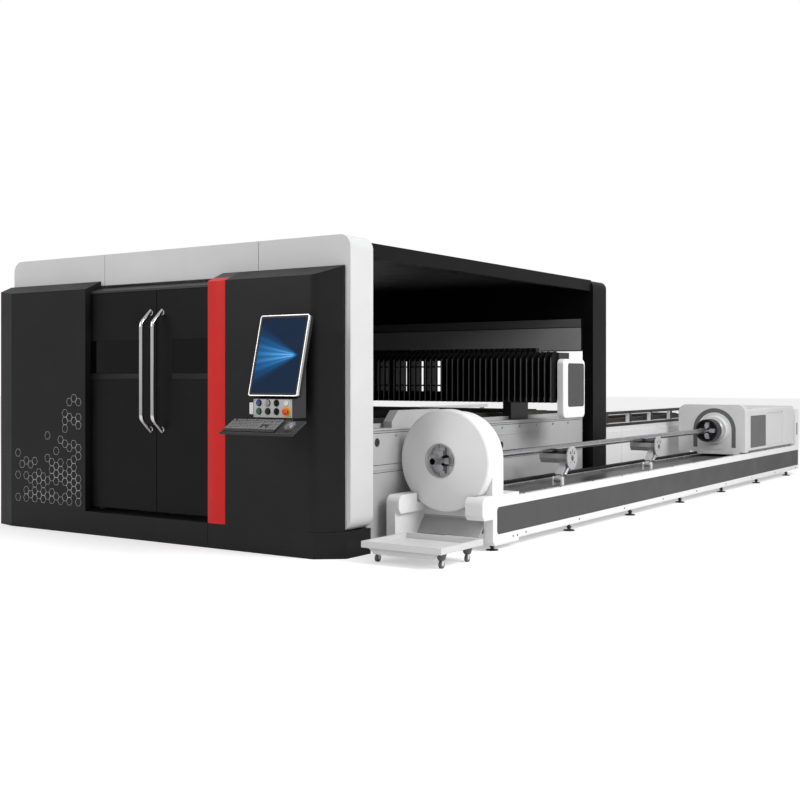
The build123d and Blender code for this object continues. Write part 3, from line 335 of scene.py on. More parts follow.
def group(name: str, inputs: dict[str, Any], outputs: dict[str, str]) -> tuple[Graph, Any, Any]:
    """Starts a shader node group.

    Args:
        name: the group's name.
        inputs: a default value for each named input; None makes a vector.
        outputs: the socket type of each named output.

    Returns:
        Its graph, its input node and its output node.
    """
    tree = bpy.data.node_groups.new(name, "ShaderNodeTree")
    for key, value in inputs.items():
        kind = "NodeSocketVector" if value is None else "NodeSocketFloat"
        socket = tree.interface.new_socket(key, in_out="INPUT", socket_type=kind)
        if value is not None:
            socket.default_value = value
    for key, kind in outputs.items():
        tree.interface.new_socket(key, in_out="OUTPUT", socket_type=kind)
    graph = Graph(tree)
    return graph, graph.add("NodeGroupInput"), graph.add("NodeGroupOutput")


class Effects:
    """Surface effects that several finishes share, each a node group that is built once."""

    def __init__(self) -> None:
        """Builds the groups."""
        self.wear = self._edge_wear()
        self.grain = self._surface_grain()
        self.dust = self._settled_dust()

    @staticmethod
    def _edge_wear() -> bpy.types.NodeTree:
        """Rubbed edges: where a rounded normal leaves the flat one, broken up by noise."""
        graph, source, result = group("edge_wear", {"Vector": None, "Radius": 0.002, "Amount": 0.4},
                                      {"Mask": "NodeSocketFloat", "Normal": "NodeSocketVector"})
        bevel = graph.add("Bevel", {"Radius": source.outputs["Radius"]}, samples=3)
        flat = graph.add("NewGeometry")
        match = graph.add("VectorMath", {0: bevel.outputs[0], 1: flat.outputs["Normal"]},
                          operation="DOT_PRODUCT").outputs["Value"]
        edge = graph.add("MapRange", {"Value": match, 1: 0.995, 2: 0.80, 3: 0.0, 4: 1.0}).outputs[0]
        patches = graph.add("TexNoise", {"Vector": source.outputs["Vector"], "Scale": 9.0,
                                         "Detail": 6.0, "Roughness": 0.7}).outputs["Fac"]
        broken = graph.add("MapRange", {"Value": patches, 1: 0.48, 2: 0.66, 3: 0.15, 4: 1.0}).outputs[0]
        mask = graph.maths("MULTIPLY", graph.maths("MULTIPLY", edge, broken), source.outputs["Amount"])
        graph.tree.links.new(mask, result.inputs["Mask"])
        graph.tree.links.new(bevel.outputs[0], result.inputs["Normal"])
        return graph.tree

    @staticmethod
    def _surface_grain() -> bpy.types.NodeTree:
        """Fine grain for bump, slow mottling for tone, and sparse scratches."""
        graph, source, result = group(
            "surface_grain", {"Vector": None, "Scale": 500.0, "Mottle": 3.0},
            {"Height": "NodeSocketFloat", "Tone": "NodeSocketFloat", "Scratch": "NodeSocketFloat"})
        vector = source.outputs["Vector"]
        fine = graph.add("TexNoise", {"Vector": vector, "Scale": source.outputs["Scale"],
                                      "Detail": 2.0, "Roughness": 0.55}).outputs["Fac"]
        slow = graph.add("TexNoise", {"Vector": vector, "Scale": source.outputs["Mottle"],
                                      "Detail": 5.0, "Roughness": 0.6}).outputs["Fac"]
        wave = graph.add("TexVoronoi", {"Vector": vector, "Scale": 14.0, "Randomness": 1.0},
                         feature="DISTANCE_TO_EDGE").outputs["Distance"]
        line = graph.add("MapRange", {"Value": wave, 1: 0.0, 2: 0.006, 3: 1.0, 4: 0.0}).outputs[0]
        gate = graph.add("MapRange", {"Value": slow, 1: 0.58, 2: 0.7, 3: 0.0, 4: 1.0}).outputs[0]
        scratch = graph.maths("MULTIPLY", line, gate)
        graph.tree.links.new(fine, result.inputs["Height"])
        graph.tree.links.new(slow, result.inputs["Tone"])
        graph.tree.links.new(scratch, result.inputs["Scratch"])
        return graph.tree

    @staticmethod
    def _settled_dust() -> bpy.types.NodeTree:
        """Dust on faces that look up and close to the floor, broken up by noise."""
        graph, source, result = group("settled_dust", {"Vector": None, "Amount": 0.2},
                                      {"Mask": "NodeSocketFloat"})
        flat = graph.add("NewGeometry")
        upward = graph.add("SeparateXYZ", {0: flat.outputs["Normal"]}).outputs["Z"]
        lying = graph.add("MapRange", {"Value": upward, 1: 0.3, 2: 1.0, 3: 0.0, 4: 1.0}).outputs[0]
        height = graph.add("SeparateXYZ", {0: source.outputs["Vector"]}).outputs["Z"]
        low = graph.add("MapRange", {"Value": height, 1: 0.0, 2: 0.35, 3: 0.6, 4: 0.0}).outputs[0]
        patches = graph.add("TexNoise", {"Vector": source.outputs["Vector"], "Scale": 4.0,
                                         "Detail": 8.0, "Roughness": 0.7}).outputs["Fac"]
        broken = graph.add("MapRange", {"Value": patches, 1: 0.4, 2: 0.75, 3: 0.2, 4: 1.0}).outputs[0]
        mask = graph.maths("MULTIPLY", graph.maths("MAXIMUM", lying, low), broken)
        graph.tree.links.new(graph.maths("MULTIPLY", mask, source.outputs["Amount"]),
                             result.inputs["Mask"])
        return graph.tree


class Brush(Enum):
    """Which way a metal's brushing runs, as the noise's scale along X, Y and Z."""

    ROUND = (60.0, 900.0, 60.0)
    LENGTHWISE = (700.0, 6.0, 700.0)
    CROSSWISE = (6.0, 700.0, 700.0)
    NONE = (1.0, 1.0, 1.0)


@dataclass(frozen=True)
class Finish:
    """A surface finish: its base values and how strongly each effect shows."""

    name: str
    colour: Colour
    roughness: float = 0.45
    metallic: float = 0.0
    specular: float = 0.5
    tone: float = 0.05
    grain: float = 900.0
    depth: float = 0.00008
    wear: float = 0.25
    wear_colour: Colour = (0.5, 0.5, 0.5)
    wear_radius: float = 0.0022
    dust: float = 0.12
    coat: float = 0.0
    brush: Brush = Brush.NONE
    emission: float = 0.0

    def material(self, effects: Effects) -> bpy.types.Material:
        """Builds the finish's material, or gives the one that was built before.

        Args:
            effects: the shared node groups.

        Returns:
            The material.
        """
        known = bpy.data.materials.get(self.name)
        if known is not None:
            return known
        material = bpy.data.materials.new(self.name)
        material.use_nodes = True
        material.node_tree.nodes.clear()
        graph = Graph(material.node_tree)
        place = graph.add("TexCoord").outputs["Object"]
        grain = self._call(graph, effects.grain, {"Vector": place, "Scale": self.grain})
        wear = self._call(graph, effects.wear, {"Vector": place, "Radius": self.wear_radius,
                                                "Amount": self.wear})
        dust = self._call(graph, effects.dust, {"Vector": place, "Amount": self.dust})
        base = self._base_colour(graph, place, grain)
        base = graph.mixed(wear.outputs["Mask"], base, (*self.wear_colour, 1))
        base = graph.mixed(dust.outputs["Mask"], base, (0.42, 0.40, 0.37, 1))
        rough = graph.add("MapRange", {"Value": grain.outputs["Tone"], 1: 0.3, 2: 0.7,
                                       3: self.roughness * 0.86, 4: self.roughness * 1.14}).outputs[0]
        rough = graph.maths("ADD", rough, graph.maths("MULTIPLY", dust.outputs["Mask"], 0.3))
        height = grain.outputs["Height"]
        if self.brush is not Brush.NONE:
            height = self._brushed(graph, place)
            rough = graph.maths("ADD", rough, graph.maths("MULTIPLY", height, 0.12))
        bump = graph.add("Bump", {"Strength": 0.5, "Distance": self.depth, "Height": height,
                                  "Normal": wear.outputs["Normal"]})
        shader = graph.add("BsdfPrincipled", {
            "Base Color": base, "Roughness": rough, "Normal": bump.outputs[0],
            "Metallic": self.metallic, "Specular IOR Level": self.specular,
            "Coat Weight": self.coat, "Coat Roughness": 0.12})
        if self.emission:
            graph.tree.links.new(base, shader.inputs["Emission Color"])
            shader.inputs["Emission Strength"].default_value = self.emission
        out = graph.add("OutputMaterial")
        graph.tree.links.new(shader.outputs[0], out.inputs[0])
        return material

    @staticmethod
    def _call(graph: Graph, tree: bpy.types.NodeTree, values: dict) -> bpy.types.Node:
        """Places a node group and sets its inputs."""
        node = graph.add("Group")
        node.node_tree = tree
        for key, value in values.items():
            if isinstance(value, bpy.types.NodeSocket):
                graph.tree.links.new(value, node.inputs[key])
            else:
                node.inputs[key].default_value = value
        return node

    def _base_colour(self, graph: Graph, place: Any, grain: bpy.types.Node) -> bpy.types.NodeSocket:
        """The colour before wear and dust: the base made darker and lighter by the slow mottling."""
        dark = tuple(c * (1 - self.tone) for c in self.colour)
        light = tuple(min(1.0, c * (1 + self.tone)) for c in self.colour)
        share = graph.add("MapRange", {"Value": grain.outputs["Tone"], 1: 0.3, 2: 0.7}).outputs[0]
        base = graph.mixed(share, (*dark, 1), (*light, 1))
        worn = tuple(min(1.0, c * 0.6 + 0.22) for c in self.colour)
        faint = graph.maths("MULTIPLY", grain.outputs["Scratch"], 0.25 * self.wear)
        return graph.mixed(faint, base, (*worn, 1))

    def _brushed(self, graph: Graph, place: Any) -> bpy.types.NodeSocket:
        """Noise stretched along the brushing's direction."""
        stretched = graph.add("Mapping", {"Vector": place, "Scale": self.brush.value}).outputs[0]
        return graph.add("TexNoise", {"Vector": stretched, "Scale": 1.0, "Detail": 3.0}).outputs["Fac"]


@dataclass(frozen=True)
class ScreenPicture(Finish):
    """A lit display: a generic deep blue picture with soft rays that spread to the left."""

    node: str = "monitor_screen"
    tilt: float = 14.0

    def _base_colour(self, graph: Graph, place: Any, grain: bpy.types.Node) -> bpy.types.NodeSocket:
        """Rays by their angle about a point at the right, over a navy field."""
        low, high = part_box(self.node)
        centre = np.array((low + high) / 2)
        shift = -rotation("x", self.tilt) @ centre
        local = graph.add("Mapping", {"Vector": place, "Location": tuple(shift),
                                      "Rotation": (math.radians(self.tilt), 0, 0)}).outputs[0]
        parts = graph.add("SeparateXYZ", {0: local})
        x, z = parts.outputs["X"], parts.outputs["Z"]
        angle = graph.maths("ARCTAN2", z, graph.maths("SUBTRACT", 0.17, x))
        spread = graph.maths("ABSOLUTE", angle)
        fan = graph.add("MapRange", {"Value": spread, 1: 0.60, 2: 0.05, 3: 0.0, 4: 1.0},
                        interpolation_type="SMOOTHSTEP").outputs[0]
        wave = graph.maths("SINE", graph.maths("MULTIPLY", angle, 41.0))
        rays = graph.maths("MULTIPLY_ADD", wave, 0.16, 0.84)
        reach = graph.add("MapRange", {"Value": x, 1: -0.26, 2: 0.10, 3: 0.38, 4: 1.0}).outputs[0]
        ending = graph.add("MapRange", {"Value": x, 1: 0.175, 2: 0.11, 3: 0.0, 4: 1.0},
                           interpolation_type="SMOOTHSTEP").outputs[0]
        share = graph.maths("MULTIPLY", graph.maths("MULTIPLY", fan, rays),
                            graph.maths("MULTIPLY", reach, ending))
        field = graph.mixed(share, (0.002, 0.010, 0.028, 1), (0.004, 0.125, 0.36, 1))
        core = graph.maths("MULTIPLY", graph.maths("POWER", share, 4.0), 0.6)
        return graph.mixed(core, field, (0.20, 0.52, 0.80, 1))


class Paints:
    """The machine's finishes by name."""

    PORTAL = Finish("portal_light_grey_powder_coat", (0.60, 0.60, 0.605), 0.42, tone=0.025,
                    wear_colour=(0.78, 0.78, 0.78), dust=0.05)
    BLACK = Finish("satin_black_powder_coat", (0.0085, 0.0085, 0.0092), 0.44, specular=0.22, tone=0.18,
                   grain=1400.0, depth=0.00012, wear=0.16, wear_colour=(0.07, 0.07, 0.07), dust=0.02)
    DOOR_BLACK = Finish("door_satin_black", (0.0045, 0.0045, 0.005), 0.42, specular=0.14, tone=0.2,
                        grain=1400.0, wear=0.2, wear_colour=(0.05, 0.05, 0.05), dust=0.012)
    # The door header's black is lighter than the other blacks: painted light from above on its sloping top,
    # a lit copy of the black paint.
    HEADER_PAINTED_LIGHT = Finish("door_header_black_painted_light", (0.034, 0.034, 0.036), 0.4, specular=0.3, tone=0.15,
                    wear=0.2, wear_colour=(0.1, 0.1, 0.1), dust=0.02)
    ROOF_BLACK = Finish("roof_black_enamel", (0.0035, 0.0035, 0.004), 0.42, specular=0.12, tone=0.25,
                        wear=0.15, wear_colour=(0.05, 0.05, 0.05), dust=0.012)
    INNER_GREY = Finish("inner_header_grey", (0.30, 0.30, 0.305), 0.5, specular=0.3, tone=0.05,
                        wear=0.1, dust=0.02)
    RED = Finish("signal_red_enamel", (0.60, 0.018, 0.016), 0.4, specular=0.2, tone=0.05, wear=0.15,
                 wear_colour=(0.6, 0.1, 0.09), dust=0.03)
    WHITE = Finish("white_powder_coat", (0.76, 0.76, 0.76), 0.4, tone=0.02, wear=0.25,
                   wear_colour=(0.6, 0.6, 0.6), dust=0.05)
    GLOSS_WHITE = Finish("white_gloss_panel", (0.78, 0.78, 0.785), 0.16, tone=0.02, wear=0.2,
                         wear_colour=(0.6, 0.6, 0.6), dust=0.04)
    BED_GREY = Finish("light_grey_bed_enamel", (0.40, 0.40, 0.405), 0.42, tone=0.05, wear=0.4,
                      wear_colour=(0.6, 0.6, 0.6), dust=0.10)
    BAND = Finish("dark_grey_band_enamel", (0.060, 0.060, 0.061), 0.5, specular=0.25, tone=0.04,
                  wear=0.2, wear_colour=(0.25, 0.25, 0.25), dust=0.04)
    COVER_GREY = Finish("mid_grey_cover_enamel", (0.115, 0.115, 0.117), 0.5, specular=0.3, tone=0.04,
                        wear=0.2, wear_colour=(0.3, 0.3, 0.3), dust=0.04)
    STATION = Finish("station_dark_grey_enamel", (0.026, 0.026, 0.028), 0.45, specular=0.3, tone=0.1,
                     wear=0.2)
    PANEL = Finish("panel_light_grey_enamel", (0.50, 0.50, 0.485), 0.42, tone=0.03, wear=0.2)
    STEEL = Finish("milled_steel", (0.42, 0.42, 0.43), 0.3, 1.0, tone=0.08, brush=Brush.CROSSWISE,
                   depth=0.00005, wear_colour=(0.75, 0.75, 0.75))
    RAIL = Finish("ground_rail_steel", (0.50, 0.50, 0.51), 0.22, 1.0, tone=0.05, brush=Brush.LENGTHWISE,
                  depth=0.00003, wear_colour=(0.75, 0.75, 0.75), dust=0.05)
    TURNED = Finish("turned_steel", (0.48, 0.48, 0.49), 0.26, 1.0, tone=0.06, brush=Brush.ROUND,
                    depth=0.00004, wear_colour=(0.75, 0.75, 0.75), dust=0.03)
    DARK_STEEL = Finish("blackened_steel", (0.035, 0.035, 0.038), 0.38, 0.6, tone=0.15, wear=0.5,
                        wear_colour=(0.35, 0.35, 0.35))
    SLAT = Finish("scorched_slat_steel", (0.05, 0.048, 0.045), 0.6, 0.5, tone=0.35, wear=0.6,
                  wear_colour=(0.25, 0.22, 0.2), dust=0.3)
    TUBE = Finish("drawn_tube_steel", (0.45, 0.45, 0.46), 0.2, 1.0, tone=0.06,
                  brush=Brush.LENGTHWISE, depth=0.00003, wear_colour=(0.8, 0.8, 0.8), dust=0.03)
    CHROME = Finish("polished_chrome", (0.72, 0.72, 0.73), 0.12, 1.0, tone=0.03, depth=0.00001,
                    wear=0.1, wear_colour=(0.8, 0.8, 0.8), dust=0.03)
    SILVER = Finish("silver_moulding", (0.55, 0.55, 0.56), 0.32, 0.7, tone=0.03, wear=0.1)
    RUBBER = Finish("black_rubber", (0.012, 0.012, 0.012), 0.75, specular=0.2, tone=0.2, grain=600.0,
                    depth=0.0002, wear=0.2, wear_colour=(0.06, 0.06, 0.06), dust=0.12)
    BELLOWS = Finish("bellows_fabric", (0.003, 0.003, 0.0033), 0.6, specular=0.12, tone=0.3,
                     grain=1500.0, depth=0.0002, wear=0.3, wear_colour=(0.04, 0.04, 0.04), dust=0.01)
    # The edge strips' grey is lighter than the bellows: a painted highlight along each plate's front edge.
    FOLD_EDGE_HIGHLIGHT = Finish("bellows_edge_trim_painted_highlight", (0.075, 0.075, 0.077), 0.4, specular=0.4, tone=0.1,
                       wear=0.3, wear_colour=(0.2, 0.2, 0.2), dust=0.02)
    CHAIN = Finish("black_chain_polyamide", (0.006, 0.006, 0.0065), 0.5, specular=0.2, tone=0.15,
                   wear=0.4, wear_colour=(0.05, 0.05, 0.05), dust=0.06)
    DECK = Finish("oiled_dark_deck", (0.055, 0.055, 0.056), 0.32, 0.4, tone=0.25, wear=0.3,
                  wear_colour=(0.2, 0.2, 0.2), dust=0.15)
    KEYS = Finish("keycap_grey_plastic", (0.17, 0.17, 0.175), 0.5, tone=0.06, wear=0.6,
                  wear_colour=(0.5, 0.5, 0.5), wear_radius=0.0015, dust=0.05)
    KEY_BASE = Finish("keyboard_base_plastic", (0.010, 0.010, 0.011), 0.5, tone=0.06, wear=0.6,
                      wear_colour=(0.35, 0.35, 0.35), dust=0.05)
    MOUSE = Finish("mouse_grey_plastic", (0.10, 0.10, 0.105), 0.22, tone=0.03, wear=0.1, coat=0.4)
    BLACK_PLASTIC = Finish("black_moulded_plastic", (0.008, 0.008, 0.009), 0.4, specular=0.3, tone=0.1,
                           wear=0.1, dust=0.03)
    BLUE = Finish("blue_button_plastic", (0.02, 0.05, 0.22), 0.25, tone=0.03, wear=0.0, coat=0.3)
    GREEN = Finish("green_button_plastic", (0.01, 0.13, 0.05), 0.25, tone=0.03, wear=0.0, coat=0.3)
    STOP_RED = Finish("stop_red_plastic", (0.68, 0.055, 0.015), 0.28, tone=0.03, wear=0.0, coat=0.3)
    YELLOW = Finish("warning_yellow_plastic", (0.72, 0.44, 0.01), 0.35, tone=0.03, wear=0.0)
    GLASS = Finish("dark_window_glass", (0.0012, 0.0012, 0.0014), 0.10, specular=0.18, tone=0.1,
                   depth=0.00001, wear=0.0, dust=0.01)
    BRASS = Finish("brass", (0.55, 0.38, 0.12), 0.25, 1.0, tone=0.08, wear=0.2)
    CASTER = Finish("caster_grey_plastic", (0.085, 0.085, 0.088), 0.45, tone=0.05, wear=0.2)
    SCREEN = ScreenPicture("lit_display", (0.01, 0.1, 0.4), 0.28, specular=0.05, wear=0.0, dust=0.0,
                           emission=0.8)
    PRINT = Finish("white_print", (0.62, 0.62, 0.62), 0.5, tone=0.03, wear=0.0)


class Workshop:
    """Makes pieces, dresses solids and reports them."""

    def __init__(self) -> None:
        """Builds the shared effects."""
        self.effects = Effects()

    def dress(self, finishes: dict[str, Finish]) -> None:
        """Gives each named solid its finish."""
        for node, finish in finishes.items():
            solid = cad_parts[node]
            solid.data.materials.clear()
            solid.data.materials.append(finish.material(self.effects))
            log.info("dressed %s with %s", node, finish.name)

    def make(self, name: str, surface: Surface, finish: Finish, body: str,
             stands_for: Sequence[str] = (), smooth: float = 35.0) -> bpy.types.Object:
        """Makes a piece, places it in the frame and lets it ride on its body.

        Args:
            name: the piece's name.
            surface: its points and faces in the machine's layout.
            finish: its finish.
            body: the body that it moves with.
            stands_for: solids that it replaces.
            smooth: the angle in degrees under which neighbouring faces shade as one.

        Returns:
            The new object.
        """
        mesh = bpy.data.meshes.new(name)
        faces = surface.quads.tolist() + surface.triangles.tolist()
        mesh.from_pydata((surface.points + SHIFT).tolist(), [], faces)
        work = bmesh.new()
        work.from_mesh(mesh)
        bmesh.ops.remove_doubles(work, verts=work.verts, dist=1e-6)
        bmesh.ops.recalc_face_normals(work, faces=work.faces)
        work.to_mesh(mesh)
        work.free()
        mesh.polygons.foreach_set("use_smooth", np.ones(len(mesh.polygons), bool))
        mesh.set_sharp_from_angle(angle=math.radians(smooth))
        mesh.materials.append(finish.material(self.effects))
        piece = bpy.data.objects.new(name, mesh)
        bpy.context.scene.collection.objects.link(piece)
        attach(piece, body)
        if stands_for:
            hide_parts(*stands_for)
        log.info("made %s: %d faces on %s", name, len(mesh.polygons), body)
        return piece


@dataclass
class Enclosure:
    """Portal, housings, doors, roof and rear arch."""

    front: float = -0.160
    box_left: float = -3.360
    door_front: float = -0.100
    door_width: float = 0.760
    seam: float = -1.735
    seam_half: float = 0.003
    window_near: float = 0.165
    window_low: float = 1.262
    window_high: float = 1.512
    hexagon: float = 0.035
    arch_front: float = 3.935
    arch_left: float = -3.410
    arch_right: float = -0.120
    header_low: float = 1.490
    header_high: float = 1.800
    window_gap: float = 0.006
    glass: float = 0.0028
    ledge: tuple[tuple[float, float], ...] = ((0.0, 0.0), (0.0040, 0.004), (0.0040, 0.012), (0.0, 0.046))
    ledge_drop: float = 0.050
    print_line: float = 0.0022
    print_height: float = 0.0006
    print_grid: tuple[int, int] = (15, 16)
    print_start: tuple[float, float] = (0.085, 0.245)
    print_seed: int = 7
    header_plate: float = 0.003
    header_screws: int = 12
    cover: tuple[float, float, float] = (1.05, 1.45, 0.004)
    cover_start: tuple[float, float, float] = (-3.5002, 0.93, 1.10)
    cover_step: float = 1.17
    louvres: int = 9
    louvre_pitch: float = 0.030
    handle_offset: float = 0.060
    handle_ends: tuple[float, float] = (0.835, 1.715)

    def build(self, shop: Workshop) -> None:
        """Dresses the solids and adds windows, print, header panels and screws."""
        shop.dress({
            "portal_frame": Paints.PORTAL, "base_plinth": Paints.BLACK, "left_box": Paints.BLACK,
            "control_cabinet": Paints.BLACK, "red_column": Paints.RED, "door_header": Paints.HEADER_PAINTED_LIGHT,
            "enclosure_panels": Paints.ROOF_BLACK, "rear_portal": Paints.ROOF_BLACK,
            "door_left": Paints.DOOR_BLACK, "door_right": Paints.DOOR_BLACK,
            "handle_left": Paints.CHROME, "handle_right": Paints.CHROME,
        })
        self.windows(shop)
        self.print(shop)
        self.header(shop)
        self.wall(shop)
        self.handle_feet(shop)

    def windows(self, shop: Workshop) -> None:
        """On each door: a wide dark pane from near the seam to the outer edge, over a sloping ledge."""
        width = self.door_width - self.window_near - self.window_gap
        height = self.window_high - self.window_low
        for side, body in ((-1, "left_door"), (1, "right_door")):
            x = self.seam + side * (self.seam_half + self.window_near + width / 2)
            middle = (x, self.door_front - LIFT, (self.window_low + self.window_high) / 2)
            pane = plate(rounded(width, height, 0.006), self.glass, 0.0008)
            shop.make(f"window_pane_{body}", pane.placed(Facing.FRONT, middle), Paints.GLASS, body)
            strip = pierced(self.ledge, (), width, 0.0004).placed(Facing.RIGHT, (0, 0, 0))
            flipped = Surface(strip.points * (1, -1, 1), strip.quads, strip.triangles)
            shop.make(f"window_ledge_{body}",
                      flipped.moved(x - width / 2, self.door_front - LIFT,
                                    self.window_low - self.ledge_drop),
                      Paints.BLACK, body)

    def print(self, shop: Workshop) -> None:
        """Thin white hexagon outlines that share sides, close together low at the right, sparse above."""
        size = self.hexagon
        step_x, step_z = size * 1.5, size * math.sqrt(3)
        columns, rows = self.print_grid
        draw = np.random.default_rng(self.print_seed).random((columns, rows))
        i, j = np.meshgrid(np.arange(columns), np.arange(rows), indexing="ij")
        across, up = i / (columns - 1), j / (rows - 1)
        chance = np.clip(0.98 - 1.5 * up * (1.35 - across) - 0.25 * (1 - across), 0.035, 0.78)
        keep = draw < chance
        x = self.box_left + self.print_start[0] + i * step_x
        z = self.print_start[1] + j * step_z + (i % 2) * step_z / 2
        turn = np.arange(6) * np.pi / 3
        outline = np.stack([np.cos(turn), np.sin(turn)], -1) * size
        ring = frame_ring(outline, self.print_line, self.print_height, 0.0001)
        offsets = np.stack([x[keep], np.full(keep.sum(), self.front - LIFT), z[keep]], -1)
        flat = ring.placed(Facing.FRONT, (0, 0, 0)).repeated(offsets)
        shop.make("left_box_hexagon_print", flat, Paints.PRINT, "machine")

    def header(self, shop: Workshop) -> None:
        """The grey panel over the pallet opening, a darker strip above it and its row of screws."""
        width = self.arch_right - self.arch_left - 0.02
        middle = (self.arch_left + self.arch_right) / 2
        height = self.header_high - self.header_low
        main = plate(rounded(width, height * 0.70, 0.006), self.header_plate)
        shop.make("rear_header_panel", main.placed(
            Facing.FRONT, (middle, self.arch_front - LIFT, self.header_low + height * 0.36)),
            Paints.INNER_GREY, "machine")
        strip = plate(rounded(width, height * 0.25, 0.006), self.header_plate)
        places = spaced((width / self.header_screws, 0, 0), self.header_screws,
                        (-width / 2.2, 0, self.header_plate))
        screws = bolt(0.007, 0.004).repeated(places)
        both = (strip + screws).placed(
            Facing.FRONT, (middle, self.arch_front - LIFT, self.header_low + height * 0.86))
        shop.make("rear_header_strip", both, Paints.COVER_GREY, "machine")

    def wall(self, shop: Workshop) -> None:
        """Three service covers with louvres on the plain left wall."""
        width, height, thickness = self.cover
        cover = plate(rounded(width, height, 0.02), thickness)
        louvre = pierced(((-0.40, 0.0), (0.40, 0.0), (0.37, 0.014), (-0.37, 0.014)), (), 0.009)
        slats = louvre.repeated(spaced((0, self.louvre_pitch, 0), self.louvres, (0, -0.60, 0.003)))
        corner = np.array([(x, z, 0.003) for x in (-0.49, 0.49) for z in (-0.69, 0.69)])
        one = total([cover, slats, bolt(0.008, 0.005).repeated(corner)]).placed(
            Facing.LEFT, self.cover_start)
        shop.make("left_wall_service_covers", one.repeated(spaced((0, self.cover_step, 0), 3)), Paints.BLACK,
                  "machine")

    def handle_feet(self, shop: Workshop) -> None:
        """A turned collar where each end of each handle meets its door."""
        collar = lathe(((0.0163, 0.0), (0.0163, 0.006), (0.019, 0.006), (0.022, 0.003), (0.022, 0.0)),
                       28, loop=True)
        for side, body in ((-1, "left_door"), (1, "right_door")):
            x = self.seam + side * self.handle_offset
            pair = total([collar.placed(Facing.FRONT, (x, self.door_front - LIFT, z))
                          for z in self.handle_ends])
            shop.make(f"handle_collars_{body}", pair, Paints.CHROME, body)


